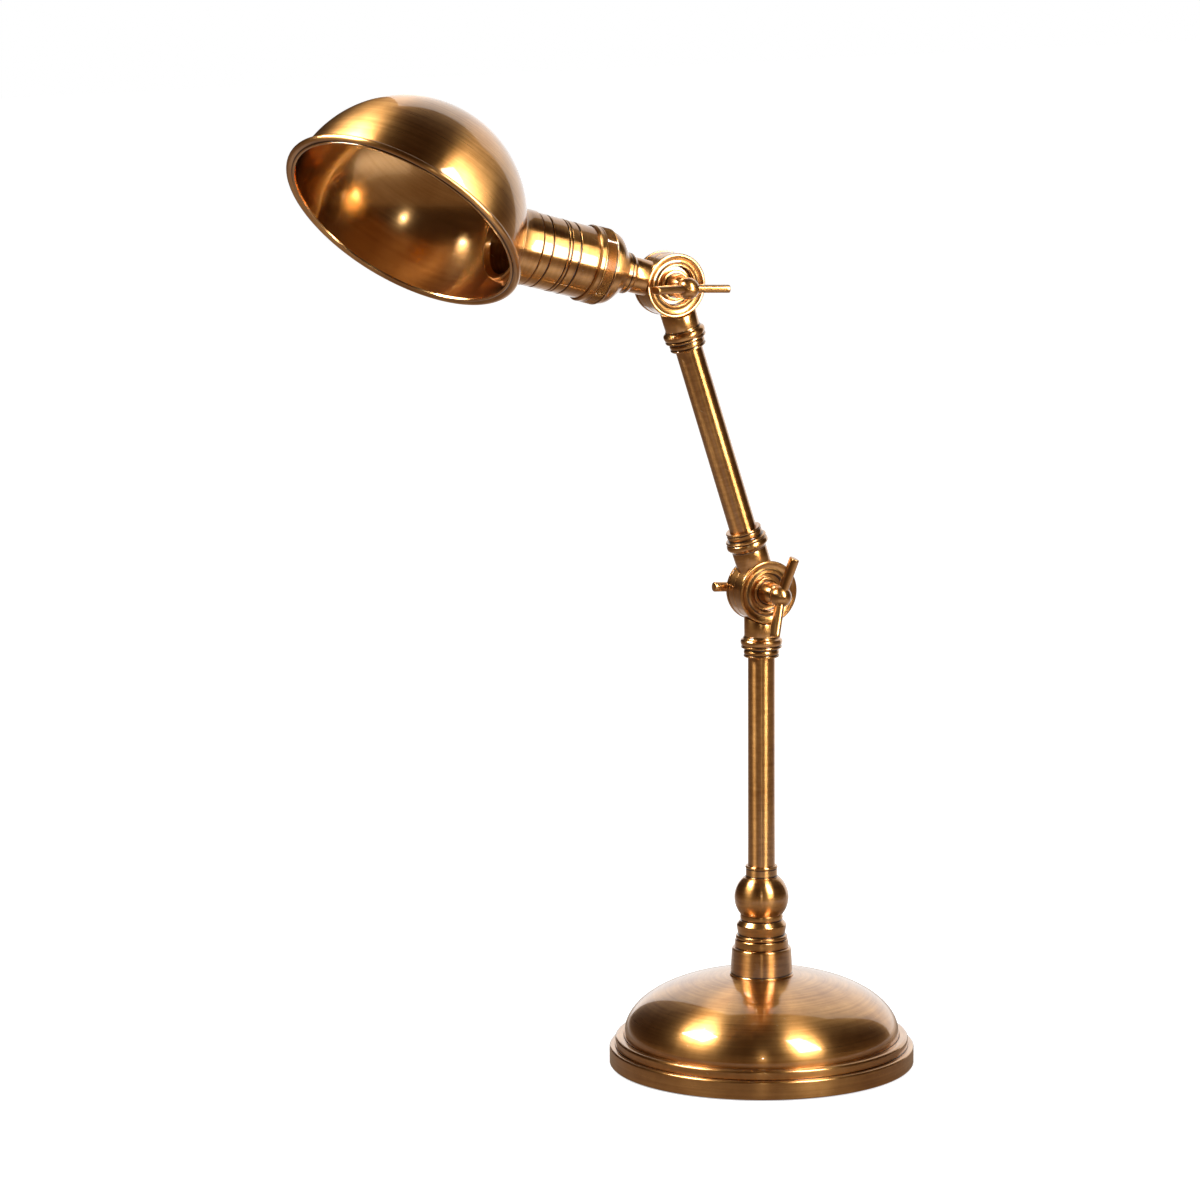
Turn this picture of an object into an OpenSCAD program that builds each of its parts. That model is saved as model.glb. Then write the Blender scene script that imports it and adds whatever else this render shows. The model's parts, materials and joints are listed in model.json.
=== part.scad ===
// Jointed desk lamp in aged brass: a weighted domed base, a turned stem, two tubes,
// two drum joints clamped by lever screws, and a turning head with a hemispherical shade.
// Millimetres. +Z is up, the arm swings in the XZ plane, and the head reaches towards -X.
// The origin is the centre of the felt's underside.

/* [Base] */
// Diameter over the lower band of the base
base_d = 180; // [150:1:220]
// Height of the lower band's straight wall
band_h = 10.2; // [9.8:0.1:12]
// Step from the lower band in to the second band
bead_step = 3.4; // [2.4:0.2:5]
// Height of the second band's top
bead_h = 17.2; // [16:0.1:20]
// Step from the second band in to the dome
dome_step = 5.3; // [3.5:0.1:8]
// Height that the dome's curve would reach at its centre
dome_h = 54.6; // [50:0.2:75]
// How square the dome's curve is, where 2 is an ellipse
dome_power = 2.12; // [2:0.02:2.6]
// Wall of the spun base shell
shell_wall = 1.5; // [1:0.1:2]
// Thickness of the felt pad
felt_t = 2; // [1.5:0.1:2.5]
// Thickness of the cast weight's disc
weight_t = 22; // [18:1:26]
// Bore of the cable grommet
cable_d = 5.2; // [4:0.1:5.4]

/* [Stem] */
// Diameter of the stem cup at the dome
cup_d = 36.6; // [34:0.2:44]
// Diameter of the stem cup at its top
cup_top_d = 35; // [33:0.2:36]
// Height of the stem cup
cup_h = 16.8; // [12:0.2:24]
// Diameter of the lower stem ring
ring_d = 32; // [30:0.2:33]
// Diameter of the cone ring's edge
cone_d = 29.6; // [28:0.2:31]
// Diameter of the lip under the ball
lip_d = 25.2; // [23:0.2:26]
// Diameter of the stem ball
ball_d = 32; // [30:0.5:38]
// Diameter of the tube collar
collar_d = 18.6; // [18.4:0.2:21]
// Height of the tube collar
collar_h = 7.2; // [5:0.2:10]
// Outer diameter of the threaded pipe that holds the stem
pipe_d = 10; // [8:0.5:11]

/* [Tubes] */
// Outer diameter of both tubes
tube_d = 16; // [15:0.1:16.4]
// Wall of both tubes
tube_wall = 1.5; // [1:0.1:2]
// Length of the upright tube that shows
post_show = 125; // [80:1:200]
// Distance between the two joint axes
arm_len = 193; // [140:1:260]
// Lean of the arm from upright
arm_tilt = 18; // [0:1:60]

/* [Joints] */
// Diameter of a joint drum
drum_d = 37.2; // [36:0.2:42]
// Thickness of a joint drum over both halves
drum_t = 19; // [18.6:0.2:22]
// Diameter of the necks
neck_d = 20.6; // [20:0.2:21]
// Distance from a joint axis to the end of its neck
neck_len = 26.5; // [26:0.5:32]
// Diameter of the clamp bolts
bolt_d = 6; // [5:0.5:7]
// Running clearance on a bolt, measured on the radius
bolt_gap = 0.05; // [0.03:0.01:0.09]
// Thickness of the gap that holds the friction disc
disc_t = 0.5; // [0.4:0.1:1]
// Diameter of a front lever's ball
knob_d = 12.8; // [12:0.2:14]
// Distance from the drum's face to the front lever's ball centre
knob_out = 14.6; // [13:0.2:18]
// Reach of a lever's arms from its ball centre
lever_len = 24.2; // [18:0.2:28]
// Thickness of a front lever's arms
lever_t = 4.7; // [3.4:0.1:5.2]
// Depth of a front lever's arms along the joint axis
lever_w = 7.4; // [5.6:0.2:8]
// Forward sweep of the front levers' arms
lever_sweep = 12; // [0:1:20]
// Diameter of a rear lever's bar
rear_bar_d = 5.8; // [4:0.2:6.4]
// Turn of the lower front lever from upright
lower_turn = 16; // [-90:1:90]
// Turn of the upper front lever from upright
upper_turn = 92; // [-90:1:120]
// Turn of the rear levers from upright
rear_turn = 86; // [-90:1:90]

/* [Ferrules] */
// Diameter of a ferrule's bead
bead_ring_d = 24.8; // [24:0.2:26]
// Diameter of a ferrule's end ring
end_ring_d = 21; // [20.4:0.2:22]
// Length of a ferrule
ferrule_len = 12.8; // [12:0.2:16]

/* [Head] */
// Rise of the head's axis above level
head_rise = 16; // [-30:1:60]
// Diameter of the collar behind the cap
cap_collar_d = 24; // [22.4:0.2:25]
// Length of the collar behind the cap
cap_collar_len = 6.8; // [5.6:0.1:12]
// Diameter of the knurled ring
knurl_d = 44.6; // [44:0.2:47]
// Length of the cap along the head's axis
cap_len = 24.2; // [23:0.2:28]
// Diameter of the ribbed sleeve
sleeve_d = 42; // [41.6:0.2:44]
// Length of the ribbed sleeve that shows
sleeve_len = 36; // [34:0.2:46]
// Wall of the ribbed sleeve under its ribs
sleeve_wall = 1.7; // [1.5:0.1:2]
// Bore of the screw shell that takes the lamp's cap
lamp_cap_d = 26.8; // [26.6:0.1:27]

/* [Shade] */
// Length of the fitter from the sleeve to the edge of its flare
fitter_len = 13.95; // [12:0.05:20]
// Outer radius of the hemispherical shade
shade_r = 68.6; // [64:0.2:72]
// Wall of the spun shade
shade_wall = 0.9; // [0.7:0.1:1.5]
// Step from the shade's wall out to the rim's edge
rim_step = 5.1; // [4.8:0.1:7]
// Radius of the rolled rim's section
rim_bead_r = 1.8; // [1.5:0.1:2.2]
// Distance of the rim's plane beyond the shade's centre
rim_drop = 4.3; // [3:0.1:6]
// Angle between the head's axis and the shade's own axis
shade_lean = 65; // [58:1:68]
// Turn of the shade about the head's axis
shade_turn = 19; // [-60:1:60]

/* [Hidden] */
$fn = 96;
brass = [0.66, 0.46, 0.22];
steel = [0.62, 0.62, 0.64];
felt_black = [0.13, 0.12, 0.11];
iron = [0.2, 0.2, 0.21];
porcelain = [0.92, 0.90, 0.85];

// Fits between pieces
slip = 0.05;
thread_gap = 0.05;
face_gap = 0.05;
edge = 0.6;

// Base
base_r = base_d/2;
bead_r = base_r - bead_step;
dome_r = bead_r - dome_step;
band_round = 1.4;
bead_round = 1.8;
shell_foot = 0.6;
felt_r = base_r - shell_wall - 1.6;
pipe_r = pipe_d/2;
pipe_bore_r = pipe_r - 1.4;
pipe_hole_r = pipe_r + thread_gap;
cup_r = cup_d/2;
cup_foot_r = cup_r + 0.6;
seat_r = cup_foot_r + 0.4;
crown_a = acos(pow(seat_r/dome_r, dome_power/2));
crown_z = bead_h + (dome_h - bead_h)*pow(sin(crown_a), 2/dome_power);
crown_under_z = crown_z - shell_wall;
dome_steps = 22;
weight_margin = 2.1;
weight_top_z = felt_t + weight_t;
nut_h = 6;
nut_af = 17;
washer_t = 1.6;
washer_r = 13;
recess_r = 15;
recess_top_z = weight_top_z - 4;
pipe_foot_z = recess_top_z - washer_t - nut_h - 2;
grommet_flange_r = 4;
grommet_hole_r = 3.3;
grommet_lip_t = 1.2;
grommet_z = shell_foot + 1 + grommet_flange_r;

// Stem, from the cup's top upwards
cup_top_z = crown_z + cup_h;
ring_low = 0.5;
ring_high = 4.9;
bead_low = 5.3;
bead_high = 7.5;
cone_low = 8.6;
cone_high = 13.9;
cone_end = 16.2;
lip_low = 16.9;
rings_h = 20.2;
rings_top_z = cup_top_z + rings_h;
ball_r = ball_d/2;
ball_z = rings_top_z + sqrt(pow(ball_r, 2) - pow(lip_d/2, 2));
collar_r = collar_d/2;
collar_seat_r = collar_r + 1.2;
collar_z = ball_z + sqrt(pow(ball_r, 2) - pow(collar_seat_r, 2));
tube_r = tube_d/2;
tube_seat_z = ball_z + 4;

// Joints
ferrule_end = neck_len + ferrule_len;
joint_1_z = collar_z + collar_h + post_show + ferrule_end;
tube_stop = 20;
drum_r = drum_d/2;
half_t = drum_t/2;
split = disc_t/2;
neck_r = neck_d/2;
rotor_gap = 0.4;
flange_step = 0.4;
flange_t = 2;
bolt_r = bolt_d/2;
bolt_hole_r = bolt_r + bolt_gap;
bowl_r = 11.2;
bowl_depth = 4;
bowl_y = half_t - bowl_depth;
drum_washer_r = 9;
drum_washer_t = 3.2;
hub_r = 6.7;
hub_foot = bowl_y + drum_washer_t - 0.3 + face_gap;
knob_r = knob_d/2;
knob_y = half_t + knob_out;
rear_knob_r = 5.2;
rear_knob_y = half_t + 4.6;
bolt_end = half_t + 7;
wire_r = 2.2;
cavity_r = 13.2;
cavity_depth = 2.6;
boss_r = 6.2;

// Head
cap_start = neck_len + cap_collar_len;
cap_edge = cap_start + cap_len;
skirt_r = knurl_d/2 - 1;
cap_foot_r = 13.2;
cap_round = 8;
cap_web = 4.4;
skirt_start = 12.3;
knurl_start = cap_start + skirt_start;
knurl_len = 8.6;
sleeve_r = sleeve_d/2;
sleeve_bore_r = sleeve_r - sleeve_wall;
sleeve_start = cap_edge + 0.1;
sleeve_band = sleeve_start + 0.8;
sleeve_end = sleeve_band + sleeve_len;
groove_depth = 0.7;
swivel_gap = 0.05;
swivel_r = 17;
swivel_bore_r = 14.4;
swivel_lip = 5;
swivel_back = cap_edge - 8.4;
clip_t = 1.2;
clip_r = swivel_r + 1.4;
clip_groove_r = swivel_r - 0.8;
clip_front = cap_edge - swivel_lip - 0.1;
cap_cavity_r = clip_r + 0.4;
lock_nut_h = 3.6;
ledge = cap_edge + 4.5;
holder_r = sleeve_bore_r - 0.2;
holder_front_r = 16.4;
holder_skirt = 18;
holder_len = 30;
holder_step = ledge + holder_skirt;
holder_front = ledge + holder_len;
lamp_cap_r = lamp_cap_d/2;
screw_shell_r = lamp_cap_r + 0.5;
screw_floor = ledge + 7;
screw_front = holder_front + 1.2;
contact_r = 4.5;
contact_t = 1.5;

// Shade and its fitting
ring_tube_r = sleeve_bore_r - thread_gap;
ring_bore_r = ring_tube_r - 1;
hole_r = ring_tube_r + 0.2;
shade_inner_r = shade_r - shade_wall;
rim_r = shade_r + rim_step;
ring_flange_r = 22.2;
fitter_r = 21.8;
flare_r = 25.6;
flare_len = 8.3;
flare_lip = 0.5;
flare_end = sleeve_end + fitter_len;
flare_start = flare_end - flare_len;
shade_reach = flare_end + flare_lip + sqrt(pow(shade_r, 2) - pow(flare_r, 2));
seat_w = 6;
touch = face_gap + 0.02;

// Points of an arc about (x, y), for turned profiles
function arc(x, y, r, a0, a1, n) =
    [for (i = [0:n]) [x + r*cos(a0 + (a1 - a0)*i/n), y + r*sin(a0 + (a1 - a0)*i/n)]];

// One point of the dome's curve, a superellipse from its foot towards its crown
function dome_point(r, h, a) =
    [r*pow(cos(a), 2/dome_power), bead_h + h*pow(sin(a), 2/dome_power)];

// One point of the shade's sphere, where 0 is its widest circle and 90 its crown
function shade_point(r, a) = [r*cos(a), -r*sin(a)];

// Distance of the shade's sphere behind its centre, at a radius about the head's axis
function back_of(r_sphere, r) = shade_reach - sqrt(pow(r_sphere, 2) - pow(r, 2));

module at_joint_1() {
    translate([0, 0, joint_1_z])
        children();
}

module along_arm() {
    at_joint_1()
        rotate([0, -arm_tilt, 0])
            children();
}

// Builds a piece down the arm from the upper joint
module down_arm() {
    along_arm()
        translate([0, 0, arm_len])
            mirror([0, 0, 1])
                children();
}

module at_joint_2() {
    along_arm()
        translate([0, 0, arm_len])
            rotate([0, arm_tilt, 0])
                children();
}

// The head's axis is local +Z, and its upper side is local +X
module along_head() {
    at_joint_2()
        rotate([0, head_rise - 90, 0])
            children();
}

// The shade's own axis is local +Z, and its opening looks along it
module along_shade() {
    along_head()
        translate([0, 0, shade_reach])
            rotate([0, 0, shade_turn])
                rotate([0, -shade_lean, 0])
                    children();
}

module turned(points) {
    rotate_extrude()
        polygon(points);
}

module ring(outer_r, inner_r, low, high) {
    translate([0, 0, low])
        difference() {
            cylinder(r = outer_r, h = high - low);
            translate([0, 0, -1])
                cylinder(r = inner_r, h = high - low + 2);
        }
}

// Cylinder along Y from y0 to y1
module y_cylinder(r, y0, y1) {
    translate([0, y1, 0])
        rotate([90, 0, 0])
            cylinder(r = r, h = y1 - y0);
}

// Turned shape about the joint axis, with its profile's height running towards -Y
module y_turned(points) {
    rotate([90, 0, 0])
        turned(points);
}

module felt_pad() {
    color(felt_black)
        cylinder(r = felt_r, h = felt_t);
}

// Spun shell: lower band, second band and dome, with a flat seat for the stem
module base_shell() {
    band_top = band_h + band_round;
    wall_r = base_r - shell_wall;
    outer = concat(
        [[base_r - edge, shell_foot], [base_r, shell_foot + edge]],
        arc(base_r - band_round, band_h, band_round, 0, 90, 5),
        [[bead_r, band_top]],
        arc(bead_r - bead_round, bead_h - bead_round, bead_round, 0, 90, 5),
        [for (i = [0:dome_steps]) dome_point(dome_r, dome_h - bead_h, crown_a*i/dome_steps)],
        [[pipe_hole_r, crown_z], [pipe_hole_r, crown_under_z]]);
    inner = concat(
        [for (i = [dome_steps:-1:0])
            dome_point(dome_r - shell_wall, dome_h - bead_h - shell_wall, crown_a*i/dome_steps)],
        [[dome_r - shell_wall, bead_h - shell_wall],
         [bead_r - shell_wall, bead_h - shell_wall],
         [bead_r - shell_wall, band_top - shell_wall],
         [wall_r, band_top - shell_wall],
         [wall_r, shell_foot]]);
    color(brass)
        difference() {
            turned(concat(outer, inner));
            translate([wall_r - 1, 0, grommet_z])
                rotate([0, 90, 0])
                    cylinder(r = grommet_hole_r, h = shell_wall + 2);
        }
}

// Cast weight: a disc with a boss up to the crown, a nut recess and a cable channel
module base_weight() {
    foot_r = bead_r - shell_wall - weight_margin;
    top_r = dome_r - shell_wall - weight_margin;
    shoulder_z = bead_h - shell_wall - weight_margin;
    channel_w = 2*grommet_hole_r + 2;
    below = felt_t - 1;
    color(iron)
        difference() {
            turned([[0, felt_t], [foot_r, felt_t], [foot_r, shoulder_z - 1], [top_r, shoulder_z],
                [top_r, weight_top_z - 3], [top_r - 3, weight_top_z], [recess_r + 4, weight_top_z],
                [recess_r + 1, crown_under_z], [0, crown_under_z]]);
            translate([0, 0, below])
                cylinder(r = pipe_hole_r + 0.4, h = crown_z);
            translate([0, 0, below])
                cylinder(r = recess_r, h = recess_top_z - below);
            translate([0, -channel_w/2, below])
                cube([base_r, channel_w, grommet_z + grommet_hole_r]);
        }
}

// Grommet at the back of the lower band, where the cable goes in
module cable_grommet() {
    inside = base_r - shell_wall - grommet_lip_t - 0.1;
    color(felt_black)
        translate([0, 0, grommet_z])
            rotate([0, 90, 0])
                difference() {
                    union() {
                        translate([0, 0, inside])
                            cylinder(r = grommet_hole_r - slip, h = base_r + 0.5 - inside);
                        translate([0, 0, base_r])
                            cylinder(r = grommet_flange_r, h = grommet_lip_t);
                        translate([0, 0, inside])
                            cylinder(r = grommet_flange_r, h = grommet_lip_t);
                    }
                    translate([0, 0, inside - 1])
                        cylinder(r = cable_d/2, h = base_r);
                }
}

module base_washer() {
    color(steel)
        ring(washer_r, pipe_hole_r, recess_top_z - washer_t, recess_top_z);
}

module hex_nut(low, high) {
    translate([0, 0, low])
        difference() {
            cylinder(r = nut_af/sqrt(3), h = high - low, $fn = 6);
            translate([0, 0, -1])
                cylinder(r = pipe_hole_r, h = high - low + 2);
        }
}

module base_nut() {
    color(steel)
        hex_nut(recess_top_z - washer_t - nut_h, recess_top_z - washer_t);
}

module stem_pipe() {
    color(steel)
        ring(pipe_r, pipe_bore_r, pipe_foot_z, tube_seat_z);
}

// Plain tapered cup with a foot ring, hollow below its top web
module stem_cup() {
    top_r = cup_top_d/2;
    web = 5;
    color(brass)
        translate([0, 0, crown_z])
            difference() {
                turned(concat([[0, 0], [cup_foot_r, 0], [cup_foot_r, 0.7], [cup_r + 0.2, 1.1],
                    [cup_r, 1.3]],
                    arc(top_r - 1.2, cup_h - 1.2, 1.2, 0, 90, 5), [[0, cup_h]]));
                translate([0, 0, -1])
                    cylinder(r = top_r - 3, h = cup_h - web + 1);
                translate([0, 0, -1])
                    cylinder(r = pipe_hole_r, h = cup_h + 2);
            }
}

// Turned stack: a plain ring, a bead, a cone ring and the lip that carries the ball
module stem_rings() {
    ring_r = ring_d/2;
    cone_r = cone_d/2;
    lip_r = lip_d/2;
    color(brass)
        translate([0, 0, cup_top_z])
            difference() {
                turned([[0, 0], [ring_r - 1, 0], [ring_r - 1, ring_low], [ring_r - 0.1, ring_low],
                    [ring_r, ring_low + 0.2], [ring_r - 0.4, ring_high - 0.3],
                    [ring_r - 0.7, ring_high], [ring_r - 1.6, ring_high], [ring_r - 1.6, bead_low],
                    [ring_r - 1.2, bead_low], [ring_r - 0.8, bead_low + 0.4],
                    [ring_r - 0.7, bead_low + 1.1], [ring_r - 0.9, bead_high - 0.4],
                    [ring_r - 1.4, bead_high],
                    [cone_r - 0.9, bead_high], [cone_r - 1, cone_low - 0.2], [cone_r - 0.8, cone_low],
                    [cone_r, cone_high - 0.3], [cone_r - 0.2, cone_high], [lip_r + 0.2, cone_end],
                    [lip_r - 0.6, cone_end + 0.2], [lip_r - 0.6, lip_low], [lip_r, lip_low + 0.3],
                    [lip_r, rings_h], [0, rings_h]]);
                translate([0, 0, -1])
                    cylinder(r = pipe_hole_r, h = rings_h + 2);
            }
}

// Ball with flat seats, tapped below and bored above for the upright tube
module stem_ball() {
    color(brass)
        difference() {
            intersection() {
                translate([0, 0, ball_z])
                    sphere(r = ball_r);
                translate([0, 0, rings_top_z])
                    cylinder(r = ball_d, h = collar_z - rings_top_z);
            }
            translate([0, 0, rings_top_z - 1])
                cylinder(r = pipe_hole_r, h = ball_d);
            translate([0, 0, tube_seat_z])
                cylinder(r = tube_r + slip, h = ball_d);
        }
}

module tube_collar() {
    color(brass)
        translate([0, 0, collar_z])
            difference() {
                turned([[0, 0], [collar_r + 0.4, 0], [collar_r + 0.4, 0.5], [collar_r, 0.8],
                    [collar_r - 0.1, collar_h - 1.8], [collar_r + 0.2, collar_h - 1.4],
                    [collar_r + 0.3, collar_h - 0.8], [collar_r - 0.1, collar_h], [0, collar_h]]);
                translate([0, 0, -1])
                    cylinder(r = tube_r + slip, h = collar_h + 2);
            }
}

module tube(low, high) {
    ring(tube_r, tube_r - tube_wall, low, high);
}

module post_tube() {
    color(brass)
        tube(tube_seat_z, joint_1_z - tube_stop);
}

// Ferrule over a tube's end: a bead with a lip, then a small end ring
module ferrule() {
    big_r = bead_ring_d/2;
    end_r = end_ring_d/2;
    translate([0, 0, neck_len])
        difference() {
            turned([[0, 0], [neck_r + 0.1, 0], [neck_r + 0.2, 0.8], [neck_r + 0.7, 1.6],
                [big_r - 0.5, 2.3], [big_r, 3.2], [big_r, 4.4], [big_r - 0.4, 5.4], [big_r - 0.9, 5.9],
                [big_r - 0.5, 6.2], [big_r - 0.3, 6.7], [big_r - 0.5, 7.2], [big_r - 1, 7.5],
                [end_r - 0.6, 7.7], [end_r - 0.6, 8.4], [end_r - 0.2, 8.8], [end_r, ferrule_len - 2.6],
                [end_r - 0.4, ferrule_len - 1.6], [end_r, ferrule_len - 1.2],
                [end_r + 0.1, ferrule_len - 0.7], [end_r - 0.3, ferrule_len], [0, ferrule_len]]);
            translate([0, 0, -1])
                cylinder(r = tube_r + slip, h = ferrule_len + 2);
        }
}

module post_ferrule() {
    color(brass)
        at_joint_1()
            mirror([0, 0, 1])
                ferrule();
}

// Drum half on the -Y side, with its neck along +Z bored for a tube or a nipple
module knuckle_half(neck_end, bore_r) {
    body_r = drum_r - flange_step;
    flange_y = half_t - flange_t;
    difference() {
        union() {
            y_turned(concat([[0, split], [body_r - 0.2, split], [body_r, split + 0.2],
                [body_r, flange_y - 0.6], [body_r - 0.7, flange_y - 0.5], [body_r - 0.7, flange_y],
                [drum_r - 0.1, flange_y], [drum_r, flange_y + 0.1]],
                arc(drum_r - 0.8, half_t - 0.8, 0.8, 0, 90, 4),
                [[drum_r - 1.5, half_t], [drum_r - 2.1, half_t - 0.5], [drum_r - 3.6, half_t - 1.1],
                 [bowl_r + 2, half_t - 0.9], [bowl_r + 1.4, half_t - 0.2], [bowl_r + 0.9, half_t],
                 [bowl_r + 0.3, half_t - 0.1], [bowl_r, half_t - 0.5], [bowl_r, bowl_y], [0, bowl_y]]));
            difference() {
                cylinder(r = neck_r, h = neck_end);
                y_cylinder(drum_r - 1.4, -neck_r - 1, neck_r + 1);
                y_cylinder(drum_r + rotor_gap, -split, neck_r + 1);
                y_cylinder(drum_r + rotor_gap, -neck_r - 1, 0.6 - flange_y);
            }
        }
        y_cylinder(bolt_hole_r, -half_t, 1);
        difference() {
            y_cylinder(cavity_r, -split - cavity_depth, 1);
            y_cylinder(boss_r, -half_t, 2);
        }
        translate([0, -split - wire_r - 0.2, cavity_r - 1])
            cylinder(r = wire_r, h = tube_stop - cavity_r + 2);
        translate([0, 0, tube_stop])
            cylinder(r = bore_r, h = neck_end);
    }
}

module post_knuckle() {
    color(brass)
        at_joint_1()
            mirror([0, 0, 1])
                mirror([0, 1, 0])
                    knuckle_half(neck_len, tube_r + slip);
}

// Thick washer in the bowl of a drum's face, on the -Y side
module drum_washer() {
    top = bowl_y + drum_washer_t;
    difference() {
        y_turned(concat([[0, bowl_y], [drum_washer_r, bowl_y]],
            arc(drum_washer_r - 0.6, top - 0.6, 0.6, 0, 90, 4),
            [[hub_r + 0.8, top], [hub_r + 0.4, top - 0.3], [0, top - 0.3]]));
        y_cylinder(bolt_hole_r, -half_t, 0);
    }
}

module lower_rear_washer() {
    color(brass)
        at_joint_1()
            mirror([0, 1, 0])
                drum_washer();
}

// Fibre disc glued to the rear half, with a running gap to the front half
module friction_disc() {
    outer_r = drum_r - flange_step - 0.8;
    y_turned([[cavity_r + 0.6, -split], [outer_r, -split], [outer_r, split - face_gap],
        [cavity_r + 0.6, split - face_gap]]);
}

module lower_friction_disc() {
    color(felt_black)
        at_joint_1()
            friction_disc();
}

module arm_lower_knuckle() {
    color(brass)
        along_arm()
            knuckle_half(neck_len, tube_r + slip);
}

module lower_front_washer() {
    color(brass)
        at_joint_1()
            drum_washer();
}

module arm_lower_ferrule() {
    color(brass)
        along_arm()
            ferrule();
}

module arm_tube() {
    color(brass)
        along_arm()
            tube(tube_stop, arm_len - tube_stop);
}

module arm_upper_ferrule() {
    color(brass)
        down_arm()
            ferrule();
}

module arm_upper_knuckle() {
    color(brass)
        down_arm()
            mirror([0, 1, 0])
                knuckle_half(neck_len, tube_r + slip);
}

module upper_rear_washer() {
    color(brass)
        at_joint_2()
            mirror([0, 1, 0])
                drum_washer();
}

module upper_friction_disc() {
    color(felt_black)
        at_joint_2()
            friction_disc();
}

// Flat-sided bar with round edges, along +Z
module lever_bar(thick, deep, high) {
    flat = (deep - thick)/2;
    linear_extrude(high) {
        square([thick, 2*flat], center = true);
        translate([0, flat])
            circle(thick/2);
        translate([0, -flat])
            circle(thick/2);
    }
}

// One lever arm with a stepped bevel at its end
module lever_arm() {
    lever_bar(lever_t, lever_w, lever_len - edge);
    lever_bar(lever_t - edge, lever_w - edge, lever_len);
}

// Rear lever screw: short hub, ball and bar behind the drum, and a shank to the front nut
module clamp_bolt() {
    bar_r = rear_bar_d/2;
    mirror([0, 1, 0]) {
        y_turned([[0, hub_foot], [hub_r, hub_foot], [hub_r, hub_foot + 1], [hub_r - 1.5, rear_knob_y],
            [0, rear_knob_y]]);
        translate([0, -rear_knob_y, 0])
            rotate([0, rear_turn, 0]) {
                sphere(rear_knob_r);
                translate([0, 0, edge - lever_len]) {
                    cylinder(r = bar_r, h = 2*(lever_len - edge));
                    translate([0, 0, -edge])
                        cylinder(r = bar_r - edge/2, h = 2*lever_len);
                }
            }
    }
    y_cylinder(bolt_r, -bolt_end, hub_foot + 1);
}

// Front lever nut: bell-shaped hub, small ring, ball and swept arms
module lever_nut(turn) {
    ring_y = knob_y - knob_r*0.85;
    bell = ring_y - hub_foot - 2.4;
    difference() {
        union() {
            y_turned(concat([[0, hub_foot], [hub_r, hub_foot]],
                [for (i = [0:6]) [hub_r - 1.6*(1 - cos(15*i)), hub_foot + 1.8 + bell*sin(15*i)]],
                [[hub_r - 1.2, ring_y - 0.4], [hub_r - 1, ring_y], [hub_r - 1.2, ring_y + 0.5],
                 [hub_r - 2.4, knob_y], [0, knob_y]]));
            translate([0, -knob_y, 0])
                rotate([0, turn, 0]) {
                    sphere(knob_r);
                    rotate([lever_sweep, 0, 0])
                        lever_arm();
                    rotate([180 - lever_sweep, 0, 0])
                        lever_arm();
                }
        }
        y_cylinder(bolt_hole_r, -bolt_end - 0.3, 0);
    }
}

module lower_clamp_bolt() {
    color(brass)
        at_joint_1()
            clamp_bolt();
}

module lower_lever_nut() {
    color(brass)
        at_joint_1()
            lever_nut(lower_turn);
}

module upper_clamp_bolt() {
    color(brass)
        at_joint_2()
            clamp_bolt();
}

module upper_lever_nut() {
    color(brass)
        at_joint_2()
            lever_nut(upper_turn);
}

// Front drum half of the head, bored for the nipple
module head_knuckle() {
    color(brass)
        along_head()
            knuckle_half(neck_len, pipe_hole_r);
}

module upper_front_washer() {
    color(brass)
        at_joint_2()
            drum_washer();
}

module head_nipple() {
    color(steel)
        along_head()
            ring(pipe_r, pipe_bore_r, tube_stop, cap_start + cap_web + lock_nut_h + 1);
}

// Flared collar between the neck and the cap
module cap_collar() {
    top_r = cap_collar_d/2;
    color(brass)
        along_head()
            translate([0, 0, neck_len])
                difference() {
                    turned([[0, 0], [neck_r + 0.3, 0], [neck_r + 0.6, 0.5], [top_r - 0.3, 1.8],
                        [top_r, 2.3], [top_r, 3.4], [top_r - 0.3, 3.8], [top_r, 4.2],
                        [top_r, cap_collar_len - 0.4], [top_r - 0.3, cap_collar_len],
                        [0, cap_collar_len]]);
                    translate([0, 0, -1])
                        cylinder(r = pipe_hole_r, h = cap_collar_len + 2);
                }
}

// Bell cap: a cone that rounds into the skirt, hollow for the swivel and its clip
module socket_cap() {
    round_x = skirt_r - cap_round;
    round_top = round_x + cap_round*cos(45);
    cone_end_z = round_top - cap_foot_r;
    cavity_z = cap_len - swivel_lip;
    neck_cavity_r = 12;
    color(brass)
        along_head()
            translate([0, 0, cap_start])
                difference() {
                    turned(concat([[0, 0], [cap_foot_r - 0.3, 0], [cap_foot_r, 0.3]],
                        arc(round_x, cone_end_z + cap_round*sin(45), cap_round, -45, 0, 6),
                        [[skirt_r, skirt_start + knurl_len], [skirt_r + 0.7, skirt_start + knurl_len],
                         [skirt_r + 1, skirt_start + knurl_len + 0.3], [skirt_r + 1, cap_len - 0.8],
                         [skirt_r + 0.2, cap_len], [0, cap_len]]));
                    turned([[0, cap_web], [neck_cavity_r, cap_web],
                        [cap_cavity_r, cap_web + cap_cavity_r - neck_cavity_r],
                        [cap_cavity_r, cavity_z], [0, cavity_z]]);
                    translate([0, 0, -1])
                        cylinder(r = pipe_hole_r, h = cap_len);
                    translate([0, 0, cavity_z - 1])
                        cylinder(r = swivel_r + swivel_gap, h = swivel_lip + 2);
                }
}

// Plain ring whose face is knurled, seated against the cap's front lip
module knurled_ring() {
    color(brass)
        along_head()
            translate([0, 0, knurl_start])
                difference() {
                    turned([[0, 0], [skirt_r + 0.5, 0], [skirt_r + 1, 0.6], [skirt_r + 1, knurl_len - 0.3],
                        [skirt_r + 0.7, knurl_len], [0, knurl_len]]);
                    translate([0, 0, -1])
                        cylinder(r = skirt_r + slip, h = knurl_len + 2);
                }
}

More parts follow.
